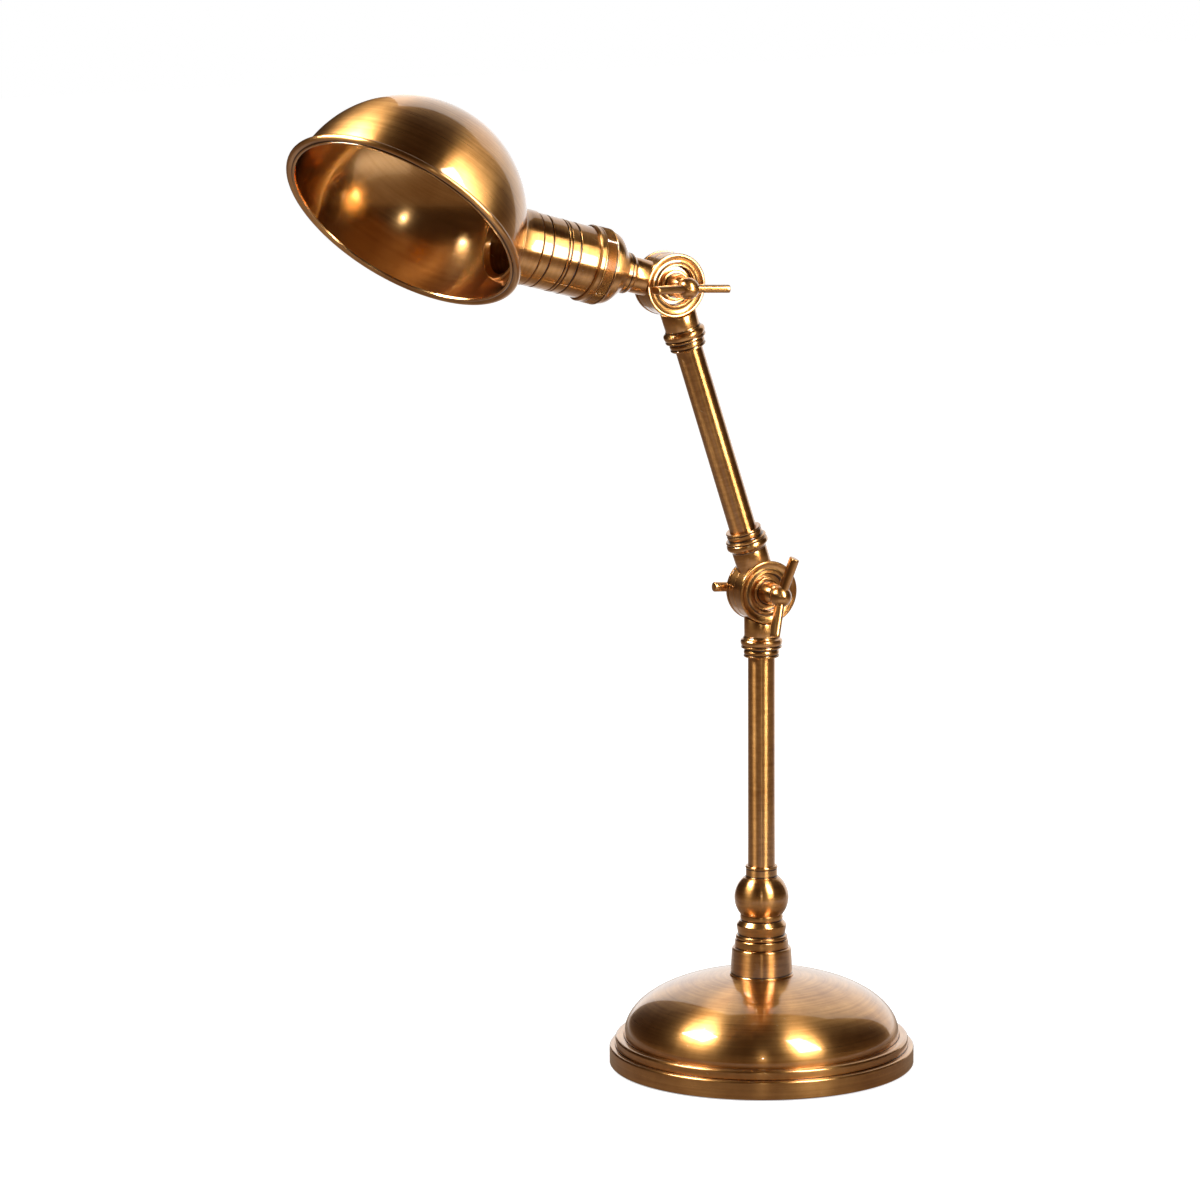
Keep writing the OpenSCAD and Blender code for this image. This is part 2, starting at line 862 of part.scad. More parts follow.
module cap_lock_nut() {
    color(steel)
        along_head()
            hex_nut(cap_start + cap_web, cap_start + cap_web + lock_nut_h);
}

// Ribbed sleeve with the spigot that turns in the cap
module socket_sleeve() {
    share = sleeve_len/36;
    groove_r = sleeve_r - groove_depth;
    ribs = [[0, 11.2], [12, 16.9], [17.5, 18.9], [19.5, 29.1], [29.9, 35.6]];
    color(brass)
        along_head()
            difference() {
                turned(concat([[0, swivel_back], [swivel_r - 0.4, swivel_back],
                    [swivel_r, swivel_back + 0.4], [swivel_r, sleeve_start],
                    [groove_r + 0.3, sleeve_start], [groove_r + 0.3, sleeve_band]],
                    [for (rib = ribs, k = [0:5])
                        [[groove_r, sleeve_r - 0.3, sleeve_r, sleeve_r, sleeve_r - 0.3, groove_r][k],
                         sleeve_band + share*[rib[0], rib[0], rib[0] + 0.3,
                            rib[1] - 0.3, rib[1], rib[1]][k]]],
                    [[groove_r, sleeve_end], [0, sleeve_end]]));
                ring(swivel_r + 1, clip_groove_r, clip_front - clip_t - slip, clip_front + slip);
                translate([0, 0, swivel_back - 1])
                    cylinder(r = swivel_bore_r, h = sleeve_end);
                translate([0, 0, ledge])
                    cylinder(r = sleeve_bore_r, h = sleeve_end);
            }
}

// Spring clip in the spigot's groove, behind the cap's inner lip
module swivel_clip() {
    slot_w = 5;
    color(steel)
        along_head()
            difference() {
                ring(clip_r, clip_groove_r + slip, clip_front - clip_t, clip_front);
                translate([0, -slot_w/2, clip_front - clip_t - 1])
                    cube([clip_r + 1, slot_w, clip_t + 2]);
            }
}

// Ceramic lampholder with a stepped body and a wire hole
module lampholder() {
    color(porcelain)
        along_head()
            difference() {
                turned([[0, ledge], [holder_r, ledge], [holder_r, holder_step],
                    [holder_front_r, holder_step], [holder_front_r, holder_front - edge],
                    [holder_front_r - edge, holder_front], [0, holder_front]]);
                translate([0, 0, screw_floor])
                    cylinder(r = screw_shell_r + slip, h = holder_front);
                translate([0, 0, screw_floor - contact_t])
                    cylinder(r = contact_r + slip, h = holder_front);
                translate([7, 0, ledge - 1])
                    cylinder(r = 2.5, h = screw_floor);
            }
}

// Screw shell that takes the lamp's cap
module screw_shell() {
    color(brass)
        along_head()
            ring(screw_shell_r, lamp_cap_r, screw_floor, screw_front);
}

// Contact sunk in the floor of the screw shell's bore
module centre_contact() {
    color(steel)
        along_head()
            translate([0, 0, screw_floor - contact_t])
                cylinder(r = contact_r, h = contact_t);
}

// Flared fitter between the sleeve and the shade's outer face
module shade_fitter() {
    flare = flare_r - fitter_r;
    shoulder = sleeve_r - 0.4;
    seat_in_r = flare_r - seat_w;
    color(brass)
        along_head()
            difference() {
                turned(concat([[0, sleeve_end], [shoulder, sleeve_end], [shoulder, sleeve_end + 0.4],
                    [fitter_r - 0.3, sleeve_end + 0.4], [fitter_r, sleeve_end + 0.7],
                    [fitter_r, flare_start]],
                    [for (i = [1:8])
                        [fitter_r + flare*(1 - cos(11.25*i)), flare_start + flare_len*sin(11.25*i)]],
                    [for (i = [0:5])
                        [flare_r - seat_w*i/5, back_of(shade_r + touch, flare_r - seat_w*i/5)]],
                    [[0, back_of(shade_r + touch, seat_in_r)]]));
                translate([0, 0, sleeve_end - 1])
                    cylinder(r = ring_tube_r + slip, h = shade_reach);
            }
}

// Spun shade: a hemisphere that flares into a rolled rim, with a round hole on the head's axis
module shade() {
    rim_mid = rim_r - rim_bead_r;
    bead_z = rim_drop - rim_bead_r;
    color(brass)
        difference() {
            along_shade()
                turned(concat([for (i = [0:40]) shade_point(shade_r, 90 - 2.25*i)],
                    [[shade_r + 0.7, 0.7]],
                    arc(rim_mid, bead_z, rim_bead_r, -140, 120, 14),
                    [[shade_r + 1.4, rim_drop - 0.7], [shade_r + 0.9, rim_drop - 0.1],
                     [shade_r + 0.3, rim_drop], [shade_inner_r + 0.3, rim_drop - 0.3],
                     [shade_inner_r, rim_drop - 1.2]],
                    [for (i = [0:40]) shade_point(shade_inner_r, 2.25*i)]));
            along_head()
                cylinder(r = hole_r, h = shade_reach);
        }
}

// Ring inside the shade: a flange on the shade's inner face and a tube into the sleeve
module shade_ring() {
    in_r = shade_inner_r - touch;
    step_r = (ring_flange_r - ring_tube_r)/3;
    lip_z = back_of(in_r, ring_flange_r) + 1.4;
    color(brass)
        along_head()
            difference() {
                turned(concat([[0, holder_step], [ring_tube_r, holder_step],
                    [ring_tube_r, back_of(in_r, ring_tube_r)]],
                    [for (i = [1:3]) [ring_tube_r + step_r*i, back_of(in_r, ring_tube_r + step_r*i)]],
                    [[ring_flange_r, lip_z - 0.6], [ring_flange_r - 0.6, lip_z], [0, lip_z]]));
                translate([0, 0, holder_step - 1])
                    cylinder(r = ring_bore_r, h = shade_reach);
                turned([[0, lip_z - 1.8], [ring_bore_r, lip_z - 1.8], [ring_flange_r - 1.2, lip_z + 0.2],
                    [0, lip_z + 0.2]]);
            }
}

felt_pad();
base_shell();
base_weight();
cable_grommet();
base_washer();
base_nut();
stem_pipe();
stem_cup();
stem_rings();
stem_ball();
tube_collar();
post_tube();
post_ferrule();
post_knuckle();
lower_rear_washer();
lower_friction_disc();
arm_lower_knuckle();
lower_front_washer();
arm_lower_ferrule();
arm_tube();
arm_upper_ferrule();
arm_upper_knuckle();
upper_rear_washer();
upper_friction_disc();
lower_clamp_bolt();
lower_lever_nut();
upper_clamp_bolt();
upper_lever_nut();
head_knuckle();
upper_front_washer();
head_nipple();
cap_collar();
socket_cap();
knurled_ring();
cap_lock_nut();
socket_sleeve();
swivel_clip();
lampholder();
screw_shell();
centre_contact();
shade_fitter();
shade();
shade_ring();
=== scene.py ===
# %% [markdown]
# # A jointed desk lamp in antiqued brass
#
# The real lamp is made almost wholly on a lathe: spun sheet for the base and the shade,
# turned bar for the stem, the joints and the socket, and drawn tube between them. So this
# lesson teaches one main skill, which is to draw a profile and turn it, and then to give the
# turned metal the fine circular brush marks and the clear lacquer that the real one has.
#
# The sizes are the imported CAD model's own. It is loaded first and stays a fixed frame.

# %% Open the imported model
import json
import math

import bmesh
import bpy
from mathutils import Matrix, Vector


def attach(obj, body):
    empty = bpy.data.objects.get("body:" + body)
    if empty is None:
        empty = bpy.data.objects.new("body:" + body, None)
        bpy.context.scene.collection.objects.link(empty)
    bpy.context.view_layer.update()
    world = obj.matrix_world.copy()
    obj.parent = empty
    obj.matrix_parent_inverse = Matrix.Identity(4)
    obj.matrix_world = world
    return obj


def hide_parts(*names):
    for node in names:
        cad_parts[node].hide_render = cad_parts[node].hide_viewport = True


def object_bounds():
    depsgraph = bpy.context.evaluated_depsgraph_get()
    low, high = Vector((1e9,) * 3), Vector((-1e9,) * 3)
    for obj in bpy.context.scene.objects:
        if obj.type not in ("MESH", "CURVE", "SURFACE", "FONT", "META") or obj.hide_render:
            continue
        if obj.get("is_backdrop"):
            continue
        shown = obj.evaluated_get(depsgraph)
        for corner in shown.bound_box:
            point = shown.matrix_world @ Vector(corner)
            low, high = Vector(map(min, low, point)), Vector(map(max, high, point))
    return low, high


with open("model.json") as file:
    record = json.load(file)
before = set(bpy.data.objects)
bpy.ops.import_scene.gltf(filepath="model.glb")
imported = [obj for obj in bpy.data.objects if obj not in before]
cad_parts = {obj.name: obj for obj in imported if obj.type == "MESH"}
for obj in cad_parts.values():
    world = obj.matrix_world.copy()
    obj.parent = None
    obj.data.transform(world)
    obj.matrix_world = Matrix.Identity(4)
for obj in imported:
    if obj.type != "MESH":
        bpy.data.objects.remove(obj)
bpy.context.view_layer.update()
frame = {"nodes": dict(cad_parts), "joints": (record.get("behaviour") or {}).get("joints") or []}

MM = 0.001
joints = {j["name"]: j for j in frame["joints"]}
print("nodes:", len(frame["nodes"]))

# %% [markdown]
# ## The camera
#
# A pinhole camera was fitted to the photograph: a long lens, 3.4 m away, 26 degrees round to
# the left of the lamp's front and 10 degrees up. The lens is the last thing to set, because
# the distance alone decides the perspective.

# %% Set up the camera
AIM = Vector((-0.104967, 0, 0.287074))
DISTANCE = 3.4
AROUND = math.radians(26)
UP = math.radians(10.212)
ROLL = math.radians(-0.288)
LENS = 176.915

look = Vector((math.sin(AROUND)*math.cos(UP), math.cos(AROUND)*math.cos(UP), -math.sin(UP)))
level_right = Vector((math.cos(AROUND), -math.sin(AROUND), 0))
level_up = level_right.cross(look)
cam_right = math.cos(ROLL)*level_right + math.sin(ROLL)*level_up
cam_up = math.cos(ROLL)*level_up - math.sin(ROLL)*level_right

camera = bpy.data.objects.new("camera", bpy.data.cameras.new("camera"))
bpy.context.scene.collection.objects.link(camera)
camera.data.lens = LENS
camera.data.sensor_width = 36
camera.data.clip_end = 50
turn = Matrix((cam_right, cam_up, -look)).transposed().to_4x4()
camera.matrix_world = Matrix.Translation(AIM - DISTANCE*look) @ turn
bpy.context.scene.camera = camera
print("camera at", [round(v, 3) for v in camera.matrix_world.translation])

# %% [markdown]
# ## Nodes and colours
#
# Every material below is a small tree. One function adds a node with its settings and links,
# and one turns a colour as a painter would name it, in sRGB hex, into the linear values that
# the shader counts in.

# %% Add a node, and read a colour
def linear(code, alpha=1.0):
    """Turn an sRGB hex colour into linear values."""
    def channel(v):
        return v/12.92 if v <= 0.04045 else ((v + 0.055)/1.055)**2.4
    return tuple(channel(int(code[i:i + 2], 16)/255) for i in (1, 3, 5)) + (alpha,)


def add(tree, kind, settings=None, **inputs):
    """Add a node. A link is given as an output socket, and anything else is a plain value."""
    node = tree.nodes.new(kind)
    for key, value in (settings or {}).items():
        setattr(node, key, value)
    for key, value in inputs.items():
        socket = node.inputs[int(key[1:]) if key[0] == "i" and key[1:].isdigit() else key.replace("_", " ")]
        if isinstance(value, bpy.types.NodeSocket):
            tree.links.new(value, socket)
        else:
            socket.default_value = value
    return node


def new_tree(name):
    material = bpy.data.materials.new(name)
    material.use_nodes = True
    material.node_tree.nodes.clear()
    return material, material.node_tree


# %% [markdown]
# ## The studio
#
# Metal has no colour of its own to show: it shows the room. Each ball on the real lamp is a
# small map of the studio, and the maps agree. A softbox hangs on each side of the camera and
# reaches well above the lamp, and the left one is the brighter. A lit white card stands
# behind the lamp: that is the pale patch on the base and on the shade's back. The paper
# under the lamp is dim close to the base, in the lamp's own shade, so the bands of the base
# stay brown. All the rest is a dark room, which gives the deep brown stripes. A small flash
# at the camera draws the fine upright line on the stem.
#
# To the camera itself the world and the floor are plain white, apart from the soft shadow.

# %% Hang the lights in a dark room
ROOM = "#3c2c20"
PANEL_FAR = 0.68
FLASH_FAR = 3.2
FLASH_TURN = -0.5
FLASH_HEIGHT = 0.9
FLASH_SIZE = 0.05
FLASH_LIGHT = 500.0

scene = bpy.context.scene
scene.view_settings.view_transform = "Standard"
toward_camera = Vector((-math.sin(AROUND), -math.cos(AROUND), 0))
world = bpy.data.worlds.new("studio")
scene.world = world
world.use_nodes = True
wt = world.node_tree
wt.nodes.clear()
rays = add(wt, "ShaderNodeLightPath")
seen = add(wt, "ShaderNodeMix", {"data_type": "RGBA"}, i0=rays.outputs["Is Camera Ray"],
           i6=linear(ROOM), i7=(1, 1, 1, 1))
backdrop = add(wt, "ShaderNodeBackground", Color=seen.outputs[2], Strength=1.0)
add(wt, "ShaderNodeOutputWorld", Surface=backdrop.outputs[0])


def from_camera(degrees, far, height):
    """A place in the studio: degrees to the right of the way to the camera, and metres off."""
    a = math.radians(degrees)
    return far*(math.cos(a)*toward_camera + math.sin(a)*level_right) + Vector((0, 0, height))


def panel(name, place, size, light, shape="RECTANGLE"):
    """Hang a softbox or a flash that faces the object's axis and gives an even light."""
    data = bpy.data.lights.new(name, "AREA")
    data.shape = shape
    data.size, data.size_y = size
    data.energy = light*math.pi*size[0]*size[1]
    lamp = bpy.data.objects.new(name, data)
    scene.collection.objects.link(lamp)
    lamp.location = place
    lamp.rotation_euler = Vector((place.x, place.y, 0)).to_track_quat("Z", "Y").to_euler()
    lamp.visible_camera = False
    return lamp


for name, degrees, width, low, high, light in (("left_softbox", -80, 0.40, 0.72, 1.3, 36.0),
                                               ("right_softbox", 41, 0.25, 0.36, 1.3, 21.0)):
    panel(name, from_camera(degrees, PANEL_FAR, (low + high)/2), (width, high - low), light)
panel("flash", from_camera(FLASH_TURN, FLASH_FAR, FLASH_HEIGHT), (FLASH_SIZE, FLASH_SIZE),
      FLASH_LIGHT, "DISK")
print("hung two softboxes and a flash")

# %% Stand up the white card and lay the floor
CARD_LIGHT = 1.1
CARD_BACK = 0.55
CARD_SIDES = (-0.26, 0.66)
CARD_TOP = 1.25
PAPER_FRONT = 0.76
FLOOR_SIZE = 12.0
DULL_PAPER = 0.5
GLOW_REACH = (0.12, 0.5)
GLOW_NEAR = 0.62
SHADOW_REACH = (0.15, 0.42)
MIRRORED_PAPER = (0.06, 0.46)
TABLE_SHARE = 0.4
TABLE_GLOW = "#725c44"


def flat(name, corners, material):
    """Lay out a sheet that belongs to the studio and not to the lamp."""
    mesh = bpy.data.meshes.new(name)
    mesh.from_pydata([tuple(c) for c in corners], [], [(0, 1, 2, 3)])
    mesh.materials.append(material)
    sheet = bpy.data.objects.new(name, mesh)
    scene.collection.objects.link(sheet)
    sheet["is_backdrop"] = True
    return sheet


lit, ct = new_tree("white_card_lit")
glow = add(ct, "ShaderNodeEmission", Color=(1, 1, 1, 1), Strength=CARD_LIGHT)
add(ct, "ShaderNodeOutputMaterial", Surface=glow.outputs[0])
card_left, card_right = (x*level_right - CARD_BACK*toward_camera for x in CARD_SIDES)
rise = Vector((0, 0, CARD_TOP))
card = flat("white_card", (card_left, card_right, card_right + rise, card_left + rise), lit)
card.visible_camera = card.visible_shadow = card.visible_diffuse = False


def between(tree, place, axis, limits):
    """Give 1 where a place lies between two limits along an axis, and 0 elsewhere."""
    along = add(tree, "ShaderNodeVectorMath", {"operation": "DOT_PRODUCT"}, i0=place, i1=axis)
    middle, half_width = (limits[0] + limits[1])/2, (limits[1] - limits[0])/2
    return add(tree, "ShaderNodeMath", {"operation": "COMPARE"}, i0=along.outputs["Value"],
               i1=middle, i2=half_width).outputs[0]


paper, pt = new_tree("white_paper_sweep")
rays = add(pt, "ShaderNodeLightPath").outputs
spot = add(pt, "ShaderNodeTexCoord").outputs["Object"]
away = add(pt, "ShaderNodeVectorMath", {"operation": "LENGTH"}, i0=spot).outputs["Value"]
# what a mirror sees: grey paper, dim in the lamp's own shade, and a darker table past it
across = between(pt, spot, level_right, CARD_SIDES)
on_paper = add(pt, "ShaderNodeMath", {"operation": "MULTIPLY"}, i0=across,
               i1=between(pt, spot, toward_camera, (-CARD_BACK, PAPER_FRONT)))
share = add(pt, "ShaderNodeMapRange", i0=on_paper.outputs[0], i3=TABLE_SHARE, i4=1.0)
dim = add(pt, "ShaderNodeMapRange", {"interpolation_type": "SMOOTHSTEP"}, i0=away,
          i1=SHADOW_REACH[0], i2=SHADOW_REACH[1], i3=MIRRORED_PAPER[0], i4=MIRRORED_PAPER[1])
dim = add(pt, "ShaderNodeMath", {"operation": "MULTIPLY"}, i0=dim.outputs[0], i1=share.outputs[0])
grey = add(pt, "ShaderNodeMix", {"data_type": "FLOAT"}, i0=rays["Is Glossy Ray"], i2=DULL_PAPER,
           i3=dim.outputs[0])
matte = add(pt, "ShaderNodeBsdfDiffuse", Color=grey.outputs[0])
# what the camera sees: plain white, with a weaker glow close by so that the shadow shows
white = add(pt, "ShaderNodeMapRange", {"interpolation_type": "SMOOTHSTEP"}, i0=away,
            i1=GLOW_REACH[0], i2=GLOW_REACH[1], i3=GLOW_NEAR, i4=1.0)
direct = add(pt, "ShaderNodeMath", {"operation": "MAXIMUM"}, i0=rays["Is Camera Ray"],
             i1=rays["Is Transmission Ray"])
strength = add(pt, "ShaderNodeMix", {"data_type": "FLOAT"}, i0=direct.outputs[0], i2=1.0, i3=white.outputs[0])
tint = add(pt, "ShaderNodeMix", {"data_type": "RGBA"}, i0=rays["Is Glossy Ray"], i6=(1, 1, 1, 1),
           i7=linear(TABLE_GLOW))
glow = add(pt, "ShaderNodeEmission", Color=tint.outputs[2], Strength=strength.outputs[0])
shown = add(pt, "ShaderNodeMath", {"operation": "MAXIMUM"}, i0=direct.outputs[0], i1=rays["Is Glossy Ray"])
lift = add(pt, "ShaderNodeMixShader", i0=shown.outputs[0], i2=glow.outputs[0])
both = add(pt, "ShaderNodeAddShader", i0=matte.outputs[0], i1=lift.outputs[0])
add(pt, "ShaderNodeOutputMaterial", Surface=both.outputs[0])
half = FLOOR_SIZE/2
flat("floor", (Vector((-half, -half, 0)), Vector((half, -half, 0)), Vector((half, half, 0)),
               Vector((-half, half, 0))), paper)
print("laid a white floor, and stood a white card behind the lamp")

# %% [markdown]
# ## Antiqued brass
#
# Brass that has been darkened in a chemical bath, brushed back on the lathe and lacquered.
# The brush leaves fine marks that run round each piece, which stretch a highlight across
# them: that is anisotropy. The lacquer is a thin clear coat with a sharp reflection of its
# own, which is why the base shows the stem as in a mirror. The marks follow the piece's own
# UV map, in which U goes once round and V is the length along the profile in millimetres.
# The brush never reaches a hollow corner, so the bath's dark brown stays there as a patina.
# That dark brown also stands for the shade that falls in the hollow, so it is partly real
# patina and partly painted shade. An attribute written when a profile is turned says where.

# %% Mix the brass
MARKS = (2.2, 2.2, 2.4)
BANDS = (1.1, 1.1, 0.5)
CLOUDS_PER_M = 40.0
SCRATCHES_PER_M = (900.0, 900.0, 45.0)
SCRATCH_SLANT = (0.6, 0.9, 0.4)
SCRATCH_TONE = "#f0d3a0"
# dark brown for hollow corners: partly real patina, partly painted shade
PATINA_AND_SHADE_TONE = "#24160b"
COAT_ROUGH = 0.035


def brushed_brass(name, tone="#d69f5c", dark="#a87239", rough=0.31, stretch=0.97, marks=1.0):
    """Brass in two tones. Stretch is its anisotropy, and marks says how hard the brush was."""
    material, t = new_tree(name)
    uv = add(t, "ShaderNodeUVMap", {"uv_map": "turning"})
    part = add(t, "ShaderNodeSeparateXYZ", i0=uv.outputs[0])
    angle = add(t, "ShaderNodeMath", {"operation": "MULTIPLY"}, i0=part.outputs[0], i1=2*math.pi)
    east = add(t, "ShaderNodeMath", {"operation": "COSINE"}, i0=angle.outputs[0])
    north = add(t, "ShaderNodeMath", {"operation": "SINE"}, i0=angle.outputs[0])
    round_it = add(t, "ShaderNodeCombineXYZ", i0=east.outputs[0], i1=north.outputs[0], i2=part.outputs[1])
    # brush marks 0.4 mm apart that run a fourteenth of the way round, on bands 2 mm apart: real
    # marks are finer than a pixel, so these are as coarse as they need to be to show
    fine = add(t, "ShaderNodeVectorMath", {"operation": "MULTIPLY"}, i0=round_it.outputs[0], i1=MARKS)
    hairs = add(t, "ShaderNodeTexNoise", i0=fine.outputs[0], Scale=1.0, Detail=4.0, Roughness=0.6)
    wide = add(t, "ShaderNodeVectorMath", {"operation": "MULTIPLY"}, i0=round_it.outputs[0], i1=BANDS)
    bands = add(t, "ShaderNodeTexNoise", i0=wide.outputs[0], Scale=1.0, Detail=3.0, Roughness=0.5)
    place = add(t, "ShaderNodeTexCoord")
    # the bath darkens the metal in clouds a few centimetres across
    cloud = add(t, "ShaderNodeTexNoise", i0=place.outputs["Object"], Scale=CLOUDS_PER_M, Detail=4.0,
                Roughness=0.6)
    mixed = add(t, "ShaderNodeMath", {"operation": "MULTIPLY_ADD"}, i0=bands.outputs[0], i1=0.7,
                i2=cloud.outputs[0])
    depth = add(t, "ShaderNodeMapRange", i0=mixed.outputs[0], i1=0.6, i2=1.1)
    colour = add(t, "ShaderNodeMix", {"data_type": "RGBA"}, i0=depth.outputs[0], i6=linear(dark),
                 i7=linear(tone))
    uneven = add(t, "ShaderNodeMapRange", i0=hairs.outputs[0], i1=0.3, i2=0.7, i3=rough - 0.03*marks,
                 i4=rough + 0.05*marks)
    # a few slanting scratches, where a long thin noise comes near its peak
    slant = add(t, "ShaderNodeVectorRotate", {"rotation_type": "EULER_XYZ"}, i0=place.outputs["Object"],
                Rotation=SCRATCH_SLANT)
    thin = add(t, "ShaderNodeVectorMath", {"operation": "MULTIPLY"}, i0=slant.outputs[0], i1=SCRATCHES_PER_M)
    lines = add(t, "ShaderNodeTexNoise", i0=thin.outputs[0], Scale=1.0, Detail=1.0, Roughness=0.4)
    scratch = add(t, "ShaderNodeMapRange", i0=lines.outputs[0], i1=0.74, i2=0.80, i3=0.0, i4=0.5*marks)
    bright = add(t, "ShaderNodeMix", {"data_type": "RGBA"}, i0=scratch.outputs[0], i6=colour.outputs[2],
                 i7=linear(SCRATCH_TONE))
    # the hollows are dark brown and duller than the brushed metal: partly real patina, partly painted shade
    hollow = add(t, "ShaderNodeAttribute", {"attribute_name": "patina_and_shade"})
    left = add(t, "ShaderNodeMath", {"operation": "MULTIPLY"}, i0=hollow.outputs["Fac"], i1=0.9)
    stained_and_shaded = add(t, "ShaderNodeMix", {"data_type": "RGBA"}, i0=left.outputs[0], i6=bright.outputs[2],
                  i7=linear(PATINA_AND_SHADE_TONE))
    duller = add(t, "ShaderNodeMath", {"operation": "MULTIPLY_ADD"}, i0=left.outputs[0], i1=0.3,
                 i2=uneven.outputs[0])
    bump = add(t, "ShaderNodeBump", Strength=0.04*marks, Distance=0.00001, Height=hairs.outputs[0])
    along = add(t, "ShaderNodeTangent", {"direction_type": "UV_MAP", "uv_map": "turning"})
    shader = add(t, "ShaderNodeBsdfPrincipled", Base_Color=stained_and_shaded.outputs[2], Metallic=1.0,
                 Roughness=duller.outputs[0], Anisotropic=stretch, Anisotropic_Rotation=0.25,
                 Tangent=along.outputs[0], Normal=bump.outputs[0], Coat_Weight=1.0, Coat_Roughness=COAT_ROUGH)
    add(t, "ShaderNodeOutputMaterial", Surface=shader.outputs[0])
    return material


brass = brushed_brass("antiqued_brass_turned")
fine_brass = brushed_brass("antiqued_brass_fine_turned", rough=0.28, stretch=0.6, marks=0.0)
spun_brass = brushed_brass("antiqued_brass_spun", rough=0.29, stretch=0.85, marks=0.6)
inner_brass = brushed_brass("antiqued_brass_shade_inside", "#e8b87a", "#cb9757", 0.19, 0.3, 0.6)
knurl_brass = brushed_brass("antiqued_brass_knurled", "#b98546", "#875a2b", 0.33, 0.0, 0.0)
print("made", brass.name, fine_brass.name, spun_brass.name, inner_brass.name, knurl_brass.name)

# %% [markdown]
# ## Where each piece stands
#
# The lamp has four straight parts: the post, the arm, the head and the shade. Each is drawn
# upright in millimetres on its own axis, and one matrix puts it in place. The two joint
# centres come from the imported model, so the drawing and the moving parts can't disagree.

# %% Make the frames
ARM_TILT = 18
HEAD_RISE = 16
SHADE_REACH = 172.494
SHADE_LEAN = 65
SHADE_TURN = 19


def rot(degrees, axis):
    return Matrix.Rotation(math.radians(degrees), 4, axis)


lower = Vector(joints["lower_tilt"]["pos_m"])/MM
upper = Vector(joints["upper_tilt"]["pos_m"])/MM
ROW = Matrix.Scale(MM, 4)
LOWER = ROW @ Matrix.Translation(lower)
UPPER = ROW @ Matrix.Translation(upper)
DOWN_POST = LOWER @ rot(180, "X")
UP_ARM = LOWER @ rot(-ARM_TILT, "Y")
DOWN_ARM = UPPER @ rot(-ARM_TILT, "Y") @ rot(180, "X")
HEAD = UPPER @ rot(HEAD_RISE - 90, "Y")
SHADE = HEAD @ Matrix.Translation((0, 0, SHADE_REACH)) @ rot(SHADE_TURN, "Z") @ rot(-SHADE_LEAN, "Y")
TO_FRONT = rot(90, "X")
TO_BACK = rot(-90, "X")
arm_length = (upper - lower).length
print("joints at", [round(v, 2) for v in lower], "and", [round(v, 2) for v in upper], "mm")
print("arm from joint to joint", round(arm_length, 2), "mm")

# %% [markdown]
# ## Turning a profile
#
# A lathe makes a shape from one line: half of its section. A real edge is never sharp, and on
# polished metal it is the rounded edge that catches the light. So each corner of the line is
# rounded by a few tenths of a millimetre, and a point just past the round holds the flat
# beside it, so that the smooth shading stays flat there. A hollow corner is marked for its
# patina and painted shade, which fade out a little way along each side.

# %% Round a profile, and turn it
EDGE = 0.25
HOLD = 0.12
# how far along each side the patina and painted shade of a hollow corner reach
PATINA_AND_SHADE_REACH = 0.7
SLIGHT_BEND = math.radians(16)
HOLLOW_BEND = math.radians(25)
SHARPEST_BEND = 2.4
SIDE_SHARE = 0.42


def soften(profile, radius=EDGE, steps=3):
    """Round the corners of a closed (radius, height) profile. The third value marks a hollow."""
    way_round = sum(a[0]*b[1] - b[0]*a[1] for a, b in zip(profile, profile[1:] + profile[:1]))
    out = []
    for i, point in enumerate(profile):
        here = Vector(point)
        a = Vector(profile[i - 1]) - here
        b = Vector(profile[(i + 1) % len(profile)]) - here
        if here.x < 1e-6 or min(a.length, b.length) < 1e-6 or math.pi - a.angle(b) < SLIGHT_BEND:
            out.append((here.x, here.y, 0.0))
            continue
        bend = math.pi - a.angle(b)
        hollow = 1.0 if a.cross(b)*way_round > 0 and bend > HOLLOW_BEND else 0.0
        cut = min(radius*math.tan(min(bend, SHARPEST_BEND)/2), SIDE_SHARE*a.length, SIDE_SHARE*b.length)
        start, end = here + cut*a.normalized(), here + cut*b.normalized()
        near, far = cut + HOLD, cut + HOLD + PATINA_AND_SHADE_REACH
        if hollow and a.length > 2*far:
            out.append((*(here + far*a.normalized()), 0.0))
        if a.length > 3*near:
            out.append((*(here + near*a.normalized()), hollow))
        for k in range(steps + 1):
            s = k/steps
            out.append((*((1 - s)**2*start + 2*s*(1 - s)*here + s**2*end), hollow))
        if b.length > 3*near:
            out.append((*(here + near*b.normalized()), hollow))
        if hollow and b.length > 2*far:
            out.append((*(here + far*b.normalized()), 0.0))
    return out


def arc(x, y, radius, first, last, steps):
    """Points of an arc about (x, y), with angles in degrees."""
    turns = [math.radians(first + (last - first)*i/steps) for i in range(steps + 1)]
    return [(x + radius*math.cos(a), y + radius*math.sin(a)) for a in turns]


def new_bmesh():
    bm = bmesh.new()
    bm.loops.layers.uv.new("turning")
    bm.verts.layers.float.new("patina_and_shade")
    return bm


